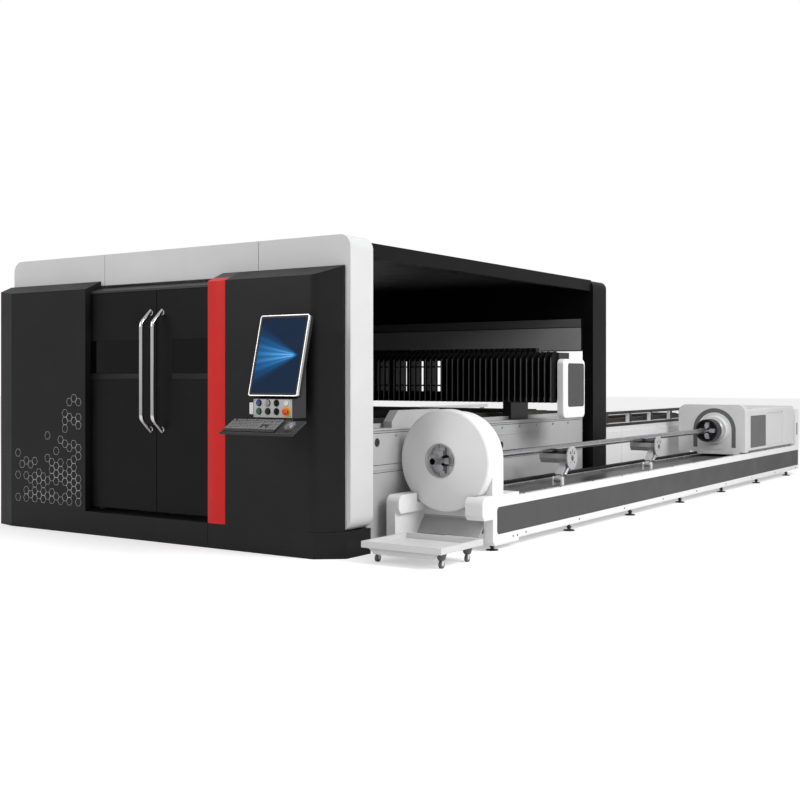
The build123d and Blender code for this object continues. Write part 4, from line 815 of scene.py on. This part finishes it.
@dataclass
class SheetUnit:
    """Sheet bed, gantry, cutting head and pallet changer."""

    bellows_right: float = 0.270
    bellows_pitch: float = 0.057
    bellows_front: float = 2.482
    bellows_back: float = 2.600
    bellows_low: float = 1.012
    bellows_high: float = 1.446
    bellows_chamfer: float = 0.055
    folds: int = 34
    opening_left: float = -1.62
    opening_right: float = -0.85
    bed_right: float = -0.090
    cap_face: float = 0.3401
    changer_right: float = -0.300
    changer_front: float = 4.300
    changer_length: float = 3.150
    bellows_plate: float = 0.007
    bellows_clips: tuple[int, int] = (15, 9)
    backing: tuple[tuple[float, float], ...] = ((0.088, 1.056), (0.066, 1.413))
    backing_length: float = 1.910
    rod_radius: float = 0.007
    rod_heights: tuple[float, float] = (1.156, 1.324)
    rod_depth: float = 2.555
    cap_middle: tuple[float, float] = (2.813, 1.1625)
    carrier_start: tuple[float, float, float] = (-3.10, 2.735, 1.4635)
    carrier_pitch: float = 0.052
    carrier_links: int = 60
    head_place: tuple[float, float] = (-2.200, 2.4579)
    head_depth: float = 0.0475
    nozzle_tip: float = 0.985
    ports: tuple[tuple[float, float], ...] = ((0.443, 0.762), (2.275, 0.654))
    seams: tuple[float, ...] = (0.545, 0.600, 0.828)
    side_panel: tuple[float, float] = (0.990, 0.560)
    side_pitch: float = 1.020
    lug: tuple[float, float] = (0.050, 0.090)

    def build(self, shop: Workshop) -> None:
        """Dresses the solids and adds the bellows, the cap's panel and the small details."""
        shop.dress({
            "sheet_bed": Paints.BED_GREY, "upper_pallet": Paints.SLAT, "lower_pallet": Paints.SLAT,
            "gantry_beam": Paints.DARK_STEEL, "gantry_end_cap": Paints.WHITE,
            "head_carriage": Paints.BED_GREY,
            "laser_head": Paints.SILVER, "exchange_base": Paints.WHITE,
        })
        self.bellows(shop)
        self.cap_panel(shop)
        self.beam_chain(shop)
        self.head(shop)
        self.bed_side(shop)
        self.changer(shop)

    def bellows(self, shop: Workshop) -> None:
        """Plates on two backing strips, open where the beam is, with grey edge strips that paint the plates'
        edge highlights, rods and bright clips.
        """
        front, back = self.bellows_front, self.bellows_back - 0.004
        outline = ((front, self.bellows_low), (back, self.bellows_low), (back, self.bellows_high),
                   (front + self.bellows_chamfer, self.bellows_high),
                   (front, self.bellows_high - self.bellows_chamfer))
        hole = rounded(0.092, 0.272, 0.008) + np.array(((front + back) / 2 + 0.004, 1.240))
        places = spaced((-self.bellows_pitch, 0, 0), self.folds,
                        (self.bellows_right - self.bellows_plate, 0, 0))
        parted = (places[:, 0] > self.opening_left) & (places[:, 0] < self.opening_right)
        plates = [pierced(outline, holes, self.bellows_plate, 0.0008).placed(Facing.RIGHT, (0, 0, 0))
                  .repeated(places[rows]) for holes, rows in (((hole,), parted), ((), ~parted))]
        middle_x = self.bellows_right - self.backing_length / 2
        strips = [bar(self.backing_length, height, 0.008).placed(
            Facing.FRONT, (middle_x, self.bellows_back, middle)) for height, middle in self.backing]
        shop.make("bellows_plates", total(plates + strips), Paints.BELLOWS, "gantry",
                  ["bellows_cover"])
        first = self.bellows_right - 0.0035
        step = (-self.bellows_pitch, 0, 0)
        low, high = self.bellows_low + 0.004, self.bellows_high - self.bellows_chamfer
        # A grey strip on each plate's front edge; its grey is a painted highlight where the edges catch
        # light.
        edge_trim_highlight = bar(0.0086, 0.006, high - low).moved(first, self.bellows_front - 0.003, low)
        shop.make("bellows_edge_trim_painted_highlight", edge_trim_highlight.repeated(spaced(step, self.folds)), Paints.FOLD_EDGE_HIGHLIGHT,
                  "gantry")
        length = self.opening_right - self.opening_left
        rod = plate(circle(self.rod_radius, 16), length)
        rods = total([rod.placed(Facing.RIGHT, (self.opening_left, self.rod_depth, z))
                      for z in self.rod_heights])
        shop.make("bellows_rods", rods, Paints.DARK_STEEL, "gantry")
        clip = bar(0.006, 0.004, 0.030).moved(first - 0.012, self.bellows_front + 0.010, 1.030)
        upper = bar(0.005, 0.004, 0.016).moved(first - 0.012, self.bellows_front + 0.030, 1.355)
        low_count, high_count = self.bellows_clips
        clips = clip.repeated(spaced(step, low_count)) + upper.repeated(spaced(step, high_count))
        shop.make("bellows_clips", clips, Paints.STEEL, "gantry")

    def cap_panel(self, shop: Workshop) -> None:
        """The dark grey panel let into the end cap's face."""
        panel = plate(rounded(0.318, 0.370, 0.025), 0.0048)
        shop.make("end_cap_panel", panel.placed(Facing.RIGHT, (self.cap_face, *self.cap_middle)),
                  Paints.BAND, "gantry")

    def beam_chain(self, shop: Workshop) -> None:
        """The flexible cable carrier along the top of the beam."""
        link = bar(0.060, 0.044, 0.048, 0.004).placed(Facing.RIGHT, self.carrier_start)
        places = spaced((self.carrier_pitch, 0, 0), self.carrier_links)
        shop.make("beam_cable_carrier", link.repeated(places), Paints.CHAIN, "gantry")

    def head(self, shop: Workshop) -> None:
        """The cutting head's nozzle, lens drawer, cover plate and screws."""
        x, y = self.head_place
        front = y - self.head_depth
        nozzle = lathe(((0.0036, -0.0002), (0.0060, -0.0002), (0.0100, 0.013), (0.0235, 0.0195),
                        (0.0235, 0.028), (0.0226, 0.030), (0.0226, 0.014), (0.0036, 0.010)), 32, loop=True)
        shop.make("head_nozzle", nozzle.placed(Facing.UP, (x, y, self.nozzle_tip)), Paints.BRASS,
                  "laser_head")
        cover = plate(rounded(0.126, 0.240, 0.012), 0.003)
        corner = np.array([(u, v, 0.003) for u in (-0.054, 0.054) for v in (-0.110, 0.110)])
        shop.make("head_cover", (cover + bolt(0.004, 0.003).repeated(corner)).placed(
            Facing.FRONT, (x, front - LIFT, 1.265)), Paints.BLACK_PLASTIC, "laser_head")
        drawer = plate(rounded(0.070, 0.026, 0.004), 0.008)
        knob = lathe(((POLE, 0.020), (0.007, 0.020), (0.009, 0.017), (0.009, 0.011), (0.006, 0.008),
                      (0.006, 0.007)), 24)
        shop.make("head_lens_drawer", (drawer + knob).placed(
            Facing.FRONT, (x, front - LIFT, 1.128)), Paints.STEEL, "laser_head")

    def bed_side(self, shop: Workshop) -> None:
        """Plugs in the bed's ports, the seam lines of its side plates, and a row of bolts."""
        plug = lathe(((POLE, 0.004), (0.010, 0.004), (0.012, 0.008), (0.024, 0.008), (0.0315, 0.004),
                      (0.0315, -0.012)), 32)
        plugs = total([plug.placed(Facing.RIGHT, (self.bed_right - 0.009, y, z))
                       for y, z in self.ports])
        shop.make("bed_port_plugs", plugs, Paints.RUBBER, "machine")
        line = bar(3.54, 0.004, 0.0012, 0.0003)
        lines = total([line.placed(Facing.RIGHT, (self.bed_right + LIFT, 2.09, z))
                       for z in self.seams])
        shop.make("bed_side_seams", lines, Paints.BAND, "machine")
        row = bolt(0.009, 0.007).placed(Facing.RIGHT, (self.bed_right + LIFT, 0.36, 0.805))
        shop.make("bed_side_bolts", row.repeated(spaced((0, 0.32, 0), 11)), Paints.STEEL, "machine")

    def changer(self, shop: Workshop) -> None:
        """The changer's glossy side panels below and its dark upper rail with lugs."""
        x = self.changer_right + LIFT
        panel = plate(rounded(*self.side_panel, 0.012), 0.006, 0.002)
        first = panel.placed(Facing.RIGHT, (x, self.changer_front + 0.510, 0.380))
        panels = first.repeated(spaced((0, self.side_pitch, 0), 3))
        shop.make("changer_side_panels", panels, Paints.GLOSS_WHITE, "machine")
        rail = bar(self.changer_length - 0.004, 0.030, 0.004, 0.001)
        upper = rail.placed(Facing.RIGHT, (x, self.changer_front + self.changer_length / 2, 0.852))
        lower = rail.placed(Facing.RIGHT, (x, self.changer_front + self.changer_length / 2, 0.724))
        lug = (plate(rounded(*self.lug, 0.004), 0.005) + bolt(0.008, 0.010)).placed(
            Facing.RIGHT, (x, self.changer_front + 0.030, 0.790))
        lugs = lug.repeated(spaced((0, (self.changer_length - 0.060) / 5, 0), 6))
        shop.make("changer_dark_rails", total([upper, lower, lugs]), Paints.DARK_STEEL, "machine")


@dataclass
class Station:
    """The operator's monitor, panel, tray, keyboard and mouse."""

    left: float = -0.520
    right: float = -0.180
    front: float = -0.395
    low: float = 0.957
    shoulder: float = 1.084
    columns: tuple[float, ...] = (-0.468, -0.391, -0.316, -0.232)
    upper: float = 1.056
    lower: float = 1.000
    tray_origin: tuple[float, float, float] = (-0.330, -0.434, 0.955)
    tray_tilt: float = 30.0
    monitor_origin: tuple[float, float, float] = (-0.350, -0.332, 1.375)
    monitor_tilt: float = -14.0
    monitor: tuple[float, float] = (0.420, 0.560)
    key: float = 0.019
    hole: float = 0.0196
    collar: float = 0.0235
    disc: float = 0.036
    board: tuple[float, float] = (-0.292, -0.178)
    mat_place: tuple[float, float] = (0.232, -0.100)
    mouse_place: tuple[float, float] = (0.235, -0.100)

    def build(self, shop: Workshop) -> None:
        """Dresses the solids and adds the panel, the monitor's rim, the keyboard and the mouse."""
        shop.dress({
            "control_box": Paints.STATION, "monitor_housing": Paints.BLACK_PLASTIC,
            "monitor_screen": Paints.SCREEN, "keyboard_tray": Paints.STATION,
            "keyboard": Paints.KEY_BASE, "mouse": Paints.MOUSE, "start_button": Paints.GREEN,
            "reset_button": Paints.BLUE, "light_button": Paints.BLACK_PLASTIC,
            "key_switch": Paints.CHROME, "selector_upper": Paints.BLACK_PLASTIC,
            "selector_lower": Paints.BLACK_PLASTIC, "emergency_stop": Paints.STOP_RED,
        })
        self.panel(shop)
        self.rim(shop)
        self.keyboard(shop)
        self.mouse(shop)
        self.holder(shop)

    def panel(self, shop: Workshop) -> None:
        """The light grey plate with its holes, black collars, screws, the stop's disc and a port."""
        middle = np.array(((self.left + self.right) / 2, (self.low + self.shoulder) / 2))
        size = (self.right - self.left - 0.008, self.shoulder - self.low - 0.006)
        places = [(x, z) for x in self.columns for z in (self.upper, self.lower)]
        used = [place for place in places if place != (self.columns[3], self.upper)]
        holes = [circle(self.hole, 32) + (np.array(place) - middle) for place in used]
        face = pierced(rounded(*size, 0.004), holes, 0.0015, 0.0004)
        origin = (middle[0], self.front - LIFT, middle[1])
        shop.make("panel_plate", face.placed(Facing.FRONT, origin), Paints.PANEL, "machine")
        front = self.front - 0.0017
        collar = frame_ring(circle(self.collar, 32), 0.0038, 0.0030, 0.0008)
        stop = (self.columns[3], self.lower)
        collars = total([collar.placed(Facing.FRONT, (x, front, z)) for x, z in used if (x, z) != stop])
        corner = [(sx * (size[0] / 2 - 0.010), sz * (size[1] / 2 - 0.009))
                  for sx in (-1, 1) for sz in (-1, 1)]
        screws = total([bolt(0.0032, 0.0018).placed(Facing.FRONT, (middle[0] + u, front, middle[1] + v))
                        for u, v in corner])
        shop.make("panel_collars", collars + screws, Paints.BLACK_PLASTIC, "machine")
        disc = frame_ring(circle(self.disc, 48), 0.0215, 0.0012, 0.0004)
        shop.make("stop_disc", disc.placed(Facing.FRONT, (stop[0], front, stop[1])), Paints.YELLOW,
                  "machine")
        port = lathe(((POLE, 0.0040), (0.0125, 0.0040), (0.0135, 0.0055), (0.0165, 0.0055),
                      (0.0180, 0.0035), (0.0180, 0.0)), 36)
        shop.make("panel_port", port.placed(Facing.FRONT, (self.columns[3], front, self.upper)),
                  Paints.WHITE, "machine")

    def rim(self, shop: Workshop) -> None:
        """The thin bright rim that wraps the monitor's edge."""
        width, height = self.monitor
        ring = frame_ring(rounded(width + 0.004, height + 0.004, 0.018), 0.0085, 0.019, 0.0022)
        face = ring.placed(Facing.FRONT, (0, 0.016, 0)).turned("x", self.monitor_tilt)
        shop.make("monitor_rim", face.moved(*self.monitor_origin), Paints.CHROME, "monitor")

    def on_tray(self, surface: Surface) -> Surface:
        """Carries a surface from the tray's level frame to its slope."""
        return surface.turned("x", self.tray_tilt).moved(*self.tray_origin)

    def keyboard(self, shop: Workshop) -> None:
        """A full keyboard: its base and each key, laid out in units of one key."""
        left, near = self.board
        base = plate(rounded(0.440, 0.145, 0.008), 0.014, 0.003).moved(left + 0.220, near + 0.0725, 0.0002)
        shop.make("keyboard_base", self.on_tray(base), Paints.KEY_BASE, "keyboard_tray",
                  ["keyboard"])
        gap = -1.0
        rows = ((1, gap, 1, 1, 1, 1, gap / 2, 1, 1, 1, 1, gap / 2, 1, 1, 1, 1),
                (1,) * 13 + (2,), (1.5,) + (1,) * 12 + (1.5,), (1.75,) + (1,) * 11 + (2.25,),
                (2.25,) + (1,) * 10 + (2.75,), (1.25, 1.25, 1.25, 6.25, 1.25, 1.25, 1.25, 1.25))
        side = ((1, 1, 1), (1, 1, 1), (1, 1, 1), (), (gap, 1), (1, 1, 1))
        pad = ((1, 1, 1, 1), (1, 1, 1, 1), (1, 1, 1, 1), (1, 1, 1, 1), (1, 1, 1, 1), (2, 1, 1))
        keys = []
        for row, parts in enumerate(zip(rows, side, pad)):
            y = near + 0.1285 - row * self.key - (0.004 if row else 0.0)
            for start, widths in zip((0.0, 15.3, 18.6), parts):
                for index, units in enumerate(widths):
                    if units > 0:
                        x = start + sum(abs(u) for u in widths[:index]) + units / 2
                        cap = skin(stacked(rounded(units * self.key - 0.0022, 0.0168, 0.002, 3),
                                           ((0, 0), (0.0006, 0.003), (0.0022, 0.0060), (0.0034, 0.0064))))
                        keys.append(cap.moved(left + 0.0085 + x * self.key, y, 0.0136))
        shop.make("keyboard_keys", self.on_tray(total(keys)), Paints.KEYS, "keyboard_tray")

    def mouse(self, shop: Workshop) -> None:
        """A crowned mouse with its wheel, on a thin mat."""
        mat = plate(rounded(0.146, 0.146, 0.006), 0.0014, 0.0004).moved(*self.mat_place, 0.0002)
        shop.make("mouse_mat", self.on_tray(mat), Paints.KEY_BASE, "keyboard_tray")
        turn = np.linspace(0, np.pi / 2, 10)
        outline = rounded(0.062, 0.100, 0.030, 8)
        rings = np.array([np.column_stack([
            outline[:, 0] * np.cos(a) ** 0.55, outline[:, 1] * np.cos(a) ** 0.55 - 0.006 * np.sin(a),
            np.full(len(outline), 0.030 * np.sin(a))]) for a in turn[:-1]])
        dome = skin(rings).moved(*self.mouse_place, 0.0018)
        shop.make("mouse_shell", self.on_tray(dome), Paints.MOUSE, "keyboard_tray",
                  ["mouse"], smooth=60.0)
        wheel = plate(circle(0.008, 24), 0.006).placed(Facing.RIGHT, (0.232, -0.074, 0.0262))
        shop.make("mouse_wheel", self.on_tray(wheel), Paints.RUBBER, "keyboard_tray")

    def holder(self, shop: Workshop) -> None:
        """The small white pen holder at the station's left."""
        walls = frame_ring(rounded(0.040, 0.050, 0.004), 0.0022, 0.078, 0.0006)
        floor = plate(rounded(0.037, 0.047, 0.003), 0.003)
        holder = (walls + floor).moved(self.left - 0.0202, self.front + 0.030, self.low + 0.022)
        shop.make("pen_holder", holder, Paints.WHITE, "machine")


@dataclass
class TubeUnit:
    """The long bed with its chucks, tube, supports, feet and cart."""

    axis_x: float = 0.300
    axis_z: float = 0.635
    bed_left: float = 0.005
    bed_right: float = 0.650
    bed_front: float = 1.190
    deck: float = 0.330
    rail_top: float = 0.36085
    rails: tuple[float, float] = (0.135, 0.555)
    hub_floor: float = 0.720
    screw_reach: float = 0.86
    screw_turns: tuple[int, int, int] = (26, 45, 64)
    rear_floor: float = 6.355
    plate_front: float = 6.570
    stripe: tuple[float, float] = (0.2445, 0.1975)
    stripe_drop: float = 0.1995
    cover_right: float = 0.640
    stations: tuple[float, float] = (2.530, 4.490)
    roller_z: float = 0.5834
    foot_radius: float = 0.046
    cart_x: float = 0.467
    cart_y: tuple[float, float] = (0.010, 0.335)
    caster_reach: float = 0.249
    bed_start: float = 0.062
    bed_run: float = 7.406
    cover_pitch: float = 0.020
    link_pitch: float = 0.050
    sleeve_front: float = 6.520
    cylinder_x: float = 0.4295
    cylinder_lean: float = 47.5
    foot_pitch: float = 1.255
    foot_first: float = 0.880
    feet_a_side: int = 7

    def build(self, shop: Workshop) -> None:
        """Dresses the solids and adds rails, covers, chuck faces, supports' fittings, feet and casters."""
        shop.dress({
            "tube_bed": Paints.WHITE, "bed_side_panel": Paints.BAND, "levelling_feet": Paints.DARK_STEEL,
            "chuck_base": Paints.WHITE, "chute_panel": Paints.BED_GREY,
            "front_chuck_bracket": Paints.WHITE, "front_spindle": Paints.WHITE,
            "workpiece_tube": Paints.TUBE, "rear_chuck_housing": Paints.PORTAL,
            "rear_drive_cover": Paints.PORTAL, "rear_spindle": Paints.DARK_STEEL,
            "support_arm_front": Paints.BED_GREY, "support_arm_rear": Paints.BED_GREY,
            "support_roller_front": Paints.DARK_STEEL, "support_roller_rear": Paints.DARK_STEEL,
            "cart_tray": Paints.PORTAL, "cart_wheels_front": Paints.CASTER,
            "cart_wheels_rear": Paints.CASTER,
        })
        jaws = [f"{end}_jaw_{side}" for end in ("front", "rear")
                for side in ("top", "right", "bottom", "left")]
        shop.dress({jaw: Paints.STEEL if jaw.startswith("front") else Paints.SILVER for jaw in jaws})
        self.bed_top(shop)
        self.chuck_faces(shop)
        self.rear_chuck(shop)
        self.supports(shop)
        self.feet(shop)
        self.screws(shop)
        self.casters(shop)

    def bed_top(self, shop: Workshop) -> None:
        """Ground rails, the dark deck, the folded near cover and the far cable carrier."""
        start, length = self.bed_front + self.bed_start, self.bed_run
        rail = plate(rounded(0.0352, self.rail_top - self.deck, 0.002, 2), length)
        middle = (self.rail_top + self.deck) / 2
        shop.make("bed_rails", total([rail.placed(Facing.BACK, (x, start, middle)) for x in self.rails]),
                  Paints.RAIL, "machine")
        width = self.rails[1] - self.rails[0] - 0.040
        deck = plate(rounded(width, length, 0.004, 2), 0.003).moved(
            sum(self.rails) / 2, start + length / 2, self.deck + LIFT)
        shop.make("bed_deck_sheet", deck, Paints.DECK, "machine")
        near = folds(0.040, 0.028, 0.005, self.cover_pitch, int(length / self.cover_pitch)).moved(
            0.598, start, self.deck + LIFT)
        shop.make("bed_near_cover", near, Paints.CHAIN, "machine", smooth=15.0)
        link = bar(0.052, 0.050, 0.046, 0.004).placed(Facing.BACK, (0.070, start, self.deck + 0.0258))
        shop.make("bed_cable_carrier", link.repeated(
            spaced((0, self.link_pitch, 0), int(length / self.link_pitch))),
                  Paints.CHAIN, "machine")

    def on_axis(self, surface: Surface, y: float) -> Surface:
        """Sets a surface on the tube's axis, facing the front."""
        return surface.placed(Facing.FRONT, (self.axis_x, y, self.axis_z))

    def quadrants(self, inner: float, outer: float) -> Surface:
        """Four steel segments between a chuck's jaws, each with three screws."""
        reach = math.sqrt(outer ** 2 - inner ** 2)
        first, last = math.atan2(inner, reach), math.atan2(reach, inner)
        turn = np.linspace(first, last, 12)
        edge = np.vstack([[(inner, inner)], np.stack([outer * np.cos(turn), outer * np.sin(turn)], -1)])
        segment = pierced(edge, (), 0.010, 0.0008)
        places = np.zeros((3, 3))
        places[:, :2] = np.stack([outer * self.screw_reach * np.cos(np.radians(self.screw_turns)),
                                  outer * self.screw_reach * np.sin(np.radians(self.screw_turns))], -1)
        one = segment + bolt(0.0048, 0.005, 10).moved(0, 0, 0.0099).repeated(places)
        return total([one.turned("z", quarter) for quarter in (0, 90, 180, 270)])

    def chuck_faces(self, shop: Workshop) -> None:
        """The segments in both hubs, and a ring round the front hub."""
        front = self.on_axis(self.quadrants(0.036, 0.1165), self.hub_floor - LIFT)
        shop.make("front_hub_segments", front, Paints.TURNED, "front_spindle")
        lip = lathe(((0.1182, 0.0), (0.1182, 0.003), (0.1225, 0.003), (0.1240, 0.0015), (0.1240, 0.0)), 72,
                    loop=True)
        shop.make("front_hub_lip", self.on_axis(lip, 0.6601), Paints.TURNED, "front_spindle")
        rear = self.on_axis(self.quadrants(0.027, 0.1105), self.rear_floor - LIFT)
        shop.make("rear_hub_segments", rear, Paints.BLACK_PLASTIC, "rear_spindle")

    def rear_chuck(self, shop: Workshop) -> None:
        """The arched stripe, the chuck's sleeve and flange, and the drive cover's dark panels."""
        outer, inner = self.stripe
        arc = np.linspace(0, np.pi, 49)
        over = np.stack([np.cos(arc), np.sin(arc)], -1)
        outline = np.vstack([[(outer, -self.stripe_drop)], over * outer, [(-outer, -self.stripe_drop)],
                             [(-inner, -self.stripe_drop)], over[::-1] * inner,
                             [(inner, -self.stripe_drop)]])
        band = self.on_axis(pierced(outline, (), 0.0045), self.plate_front + 0.0049)
        shop.make("rear_plate_stripe", band, Paints.COVER_GREY, "rear_carriage")
        flange = lathe(((0.1268, 0.0), (0.1268, 0.040), (0.148, 0.040), (0.156, 0.034), (0.156, 0.010),
                        (0.168, 0.008), (0.168, 0.0)), 64, loop=True)
        ring = flange + bolt(0.006, 0.005, 10).moved(0, 0, 0.040).repeated(around(8, 0.138, 22.5))
        shop.make("rear_chuck_flange", self.on_axis(ring, self.plate_front - LIFT), Paints.PORTAL,
                  "rear_carriage")
        sleeve = lathe(((0.1262, 0.0), (0.1262, 0.085), (0.131, 0.085), (0.133, 0.083), (0.133, 0.046),
                        (0.136, 0.044), (0.136, 0.0)), 64, loop=True)
        shop.make("rear_chuck_sleeve", self.on_axis(sleeve, self.sleeve_front), Paints.SILVER,
                  "rear_spindle")
        panel = plate(rounded(0.592, 0.359, 0.006), 0.0055).placed(
            Facing.RIGHT, (self.cover_right - 0.0059, 7.110, 0.6085))
        shop.make("drive_cover_panel", panel, Paints.COVER_GREY, "rear_carriage")
        slot = plate(rounded(0.066, 0.146, 0.006), 0.010).placed(Facing.RIGHT, (0.6305, 8.735, 0.575))
        shop.make("end_panel_slot", slot, Paints.BLACK_PLASTIC, "machine")

    def supports(self, shop: Workshop) -> None:
        """Each support's air cylinder beside its arm, and the disc's hub and screws."""
        lean = math.radians(self.cylinder_lean)
        way = np.array((0.0, math.sin(lean), math.cos(lean)))
        for name, station in zip(("front", "rear"), self.stations):
            foot = np.array((self.cylinder_x, station - 0.150, 0.384))
            barrel = along(foot + way * np.array((0.050, 0.052, 0.128, 0.130))[:, None], 0.013, 20)
            rod = along(foot + way * np.array((0.128, 0.165))[:, None], 0.005, 12)
            caps = along(foot + way * np.array((0.046, 0.060))[:, None], 0.0145, 20) + along(
                foot + way * np.array((0.122, 0.134))[:, None], 0.0145, 20)
            shop.make(f"support_cylinder_{name}", total([barrel, rod, caps]), Paints.STEEL,
                      f"support_{name}")
            hub = lathe(((POLE, 0.008), (0.012, 0.008), (0.014, 0.006), (0.014, 0.003), (0.024, 0.002),
                         (0.024, 0.0)), 32)
            dots = bolt(0.005, 0.004, 10).repeated(around(4, 0.052, 45.0))
            face = (hub + dots).placed(Facing.RIGHT, (self.axis_x + 0.1441, station, self.roller_z - 0.030))
            shop.make(f"support_hub_{name}", face, Paints.COVER_GREY, f"support_{name}")

    def feet(self, shop: Workshop) -> None:
        """Levelling feet: a dished pad, a threaded stem and a hexagon nut."""
        thread = [(0.0105 if step % 2 else 0.0120, 0.016 + 0.0022 * step) for step in range(10)]
        low = lathe([(POLE, 0.0), (self.foot_radius, 0.0), (self.foot_radius, 0.006), (0.040, 0.009),
                     (0.018, 0.013), (0.016, 0.016)] + thread + [(0.0120, 0.0618), (POLE, 0.0618)], 28)
        nut = plate(circle(0.021, 6), 0.014, 0.0015).moved(0, 0, 0.024)
        ys = self.foot_first + self.foot_pitch * np.arange(self.feet_a_side)
        xs = np.array((self.bed_left + 0.050, self.bed_right - 0.050))
        places = np.array([(x, y, 0.0) for x in xs for y in ys[1:]])
        front = np.array([(x, ys[0], 0.0) for x in xs])
        short = Surface(low.points * (1, 1, 0.0378 / 0.0618), low.quads, low.triangles)
        lower_nut = plate(circle(0.021, 6), 0.010, 0.0015).moved(0, 0, 0.020)
        shape = (low + nut).repeated(places) + (short + lower_nut).repeated(front)
        shop.make("levelling_feet_turned", shape, Paints.DARK_STEEL, "machine",
                  ["levelling_feet"])

    def screws(self, shop: Workshop) -> None:
        """Small dark screws along the bed's foot strip, the band's start and the chute."""
        head = bolt(0.0065, 0.004, 12)
        side = head.placed(Facing.RIGHT, (self.bed_right + LIFT, 1.30, 0.088))
        rows = side.repeated(spaced((0, 0.92, 0), 9))
        base = total([head.placed(Facing.RIGHT, (self.bed_right + LIFT, y, 0.080)) for y in (1.10, 1.165)])
        top = head.moved(self.bed_right - 0.015, 1.30, 0.3701).repeated(spaced((0, 0.61, 0), 12))
        shop.make("bed_screws", total([rows, base, top]), Paints.DARK_STEEL, "machine")

    def casters(self, shop: Workshop) -> None:
        """The tapered grey housings over the cart's casters."""
        cone = lathe(((0.013, 0.0), (0.021, 0.0), (0.026, 0.008), (0.035, 0.040), (0.035, 0.0497),
                      (0.013, 0.0497)), 28, loop=True)
        places = [(self.cart_x + side * self.caster_reach, y, 0.0528)
                  for side in (-1, 1) for y in self.cart_y]
        shop.make("cart_caster_housings", cone.repeated(np.array(places)), Paints.CASTER, "cart")


@dataclass
class Studio:
    """Floor, world, lamps and the camera at the photograph's place."""

    place: tuple[float, float, float] = (4.585, -6.236, 1.22)
    yaw: float = 33.85
    lens: float = 51.525
    shift: float = -0.0271
    world_level: float = 0.56

    def build(self) -> None:
        """Builds all of it."""
        self.world()
        self.floor()
        self.lamps()
        self.camera()
        bpy.context.scene.view_settings.view_transform = "Standard"

    def world(self) -> None:
        """White to the camera and through glass, a plain soft level for all other light."""
        world = bpy.data.worlds.new("studio")
        bpy.context.scene.world = world
        world.use_nodes = True
        world.node_tree.nodes.clear()
        graph = Graph(world.node_tree)
        path = graph.add("LightPath")
        seen = graph.maths("MAXIMUM", path.outputs["Is Camera Ray"],
                           path.outputs["Is Transmission Ray"])
        strength = graph.add("MapRange", {"Value": seen, 3: self.world_level, 4: 1.0}).outputs[0]
        background = graph.add("Background", {"Color": (1, 1, 1, 1), "Strength": strength})
        out = graph.add("OutputWorld")
        graph.tree.links.new(background.outputs[0], out.inputs[0])

    def floor(self) -> None:
        """A large pale floor that lifts to white for the camera and keeps the shadow."""
        size = 60.0
        corners = [(-size, -size, 0), (size, -size, 0), (size, size, 0), (-size, size, 0)]
        mesh = bpy.data.meshes.new("studio_floor")
        mesh.from_pydata(corners, [], [(0, 1, 2, 3)])
        floor = bpy.data.objects.new("studio_floor", mesh)
        bpy.context.scene.collection.objects.link(floor)
        material = bpy.data.materials.new("studio_floor")
        material.use_nodes = True
        material.node_tree.nodes.clear()
        graph = Graph(material.node_tree)
        path = graph.add("LightPath")
        glow = graph.maths("MULTIPLY", path.outputs["Is Camera Ray"], 0.42)
        shader = graph.add("BsdfPrincipled", {"Base Color": (0.78, 0.78, 0.78, 1), "Roughness": 0.8,
                                              "Emission Color": (1, 1, 1, 1), "Emission Strength": glow})
        out = graph.add("OutputMaterial")
        graph.tree.links.new(shader.outputs[0], out.inputs[0])
        mesh.materials.append(material)

    def lamps(self) -> None:
        """A broad key from the right, a soft one from the front left and one from above."""
        for name, place, target, size, power in (
            ("key_right", (9.5, -2.5, 6.5), (0.5, 0.0, 0.8), 5.0, 800.0),
            ("fill_front", (-3.0, -11.0, 5.0), (-0.5, 0.0, 1.0), 5.0, 220.0),
            ("top", (0.0, 0.0, 9.0), (0.0, 0.0, 0.0), 8.0, 300.0),
        ):
            data = bpy.data.lights.new(name, "AREA")
            data.size = size
            data.energy = power
            lamp = bpy.data.objects.new(name, data)
            bpy.context.scene.collection.objects.link(lamp)
            lamp.location = place
            lamp.rotation_euler = (Vector(target) - Vector(place)).to_track_quat("-Z", "Y").to_euler()

    def camera(self) -> None:
        """The camera at the photograph's angle."""
        data = bpy.data.cameras.new("camera")
        data.lens = self.lens
        data.shift_y = self.shift
        data.clip_end = 200.0
        camera = bpy.data.objects.new("camera", data)
        bpy.context.scene.collection.objects.link(camera)
        camera.location = tuple(np.array(self.place) + SHIFT)
        camera.rotation_euler = (math.radians(90), 0, math.radians(self.yaw))
        bpy.context.scene.camera = camera


def write_sizes() -> None:
    """Updates the view layer."""
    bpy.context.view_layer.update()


def main() -> None:
    """Builds the machine's looks and the studio."""
    shop = Workshop()
    for part in (Enclosure(), SheetUnit(), Station(), TubeUnit()):
        part.build(shop)
    Studio().build()
    write_sizes()


if __name__ == "__main__":
    logging.basicConfig(level=logging.INFO, format="%(message)s")
    main()
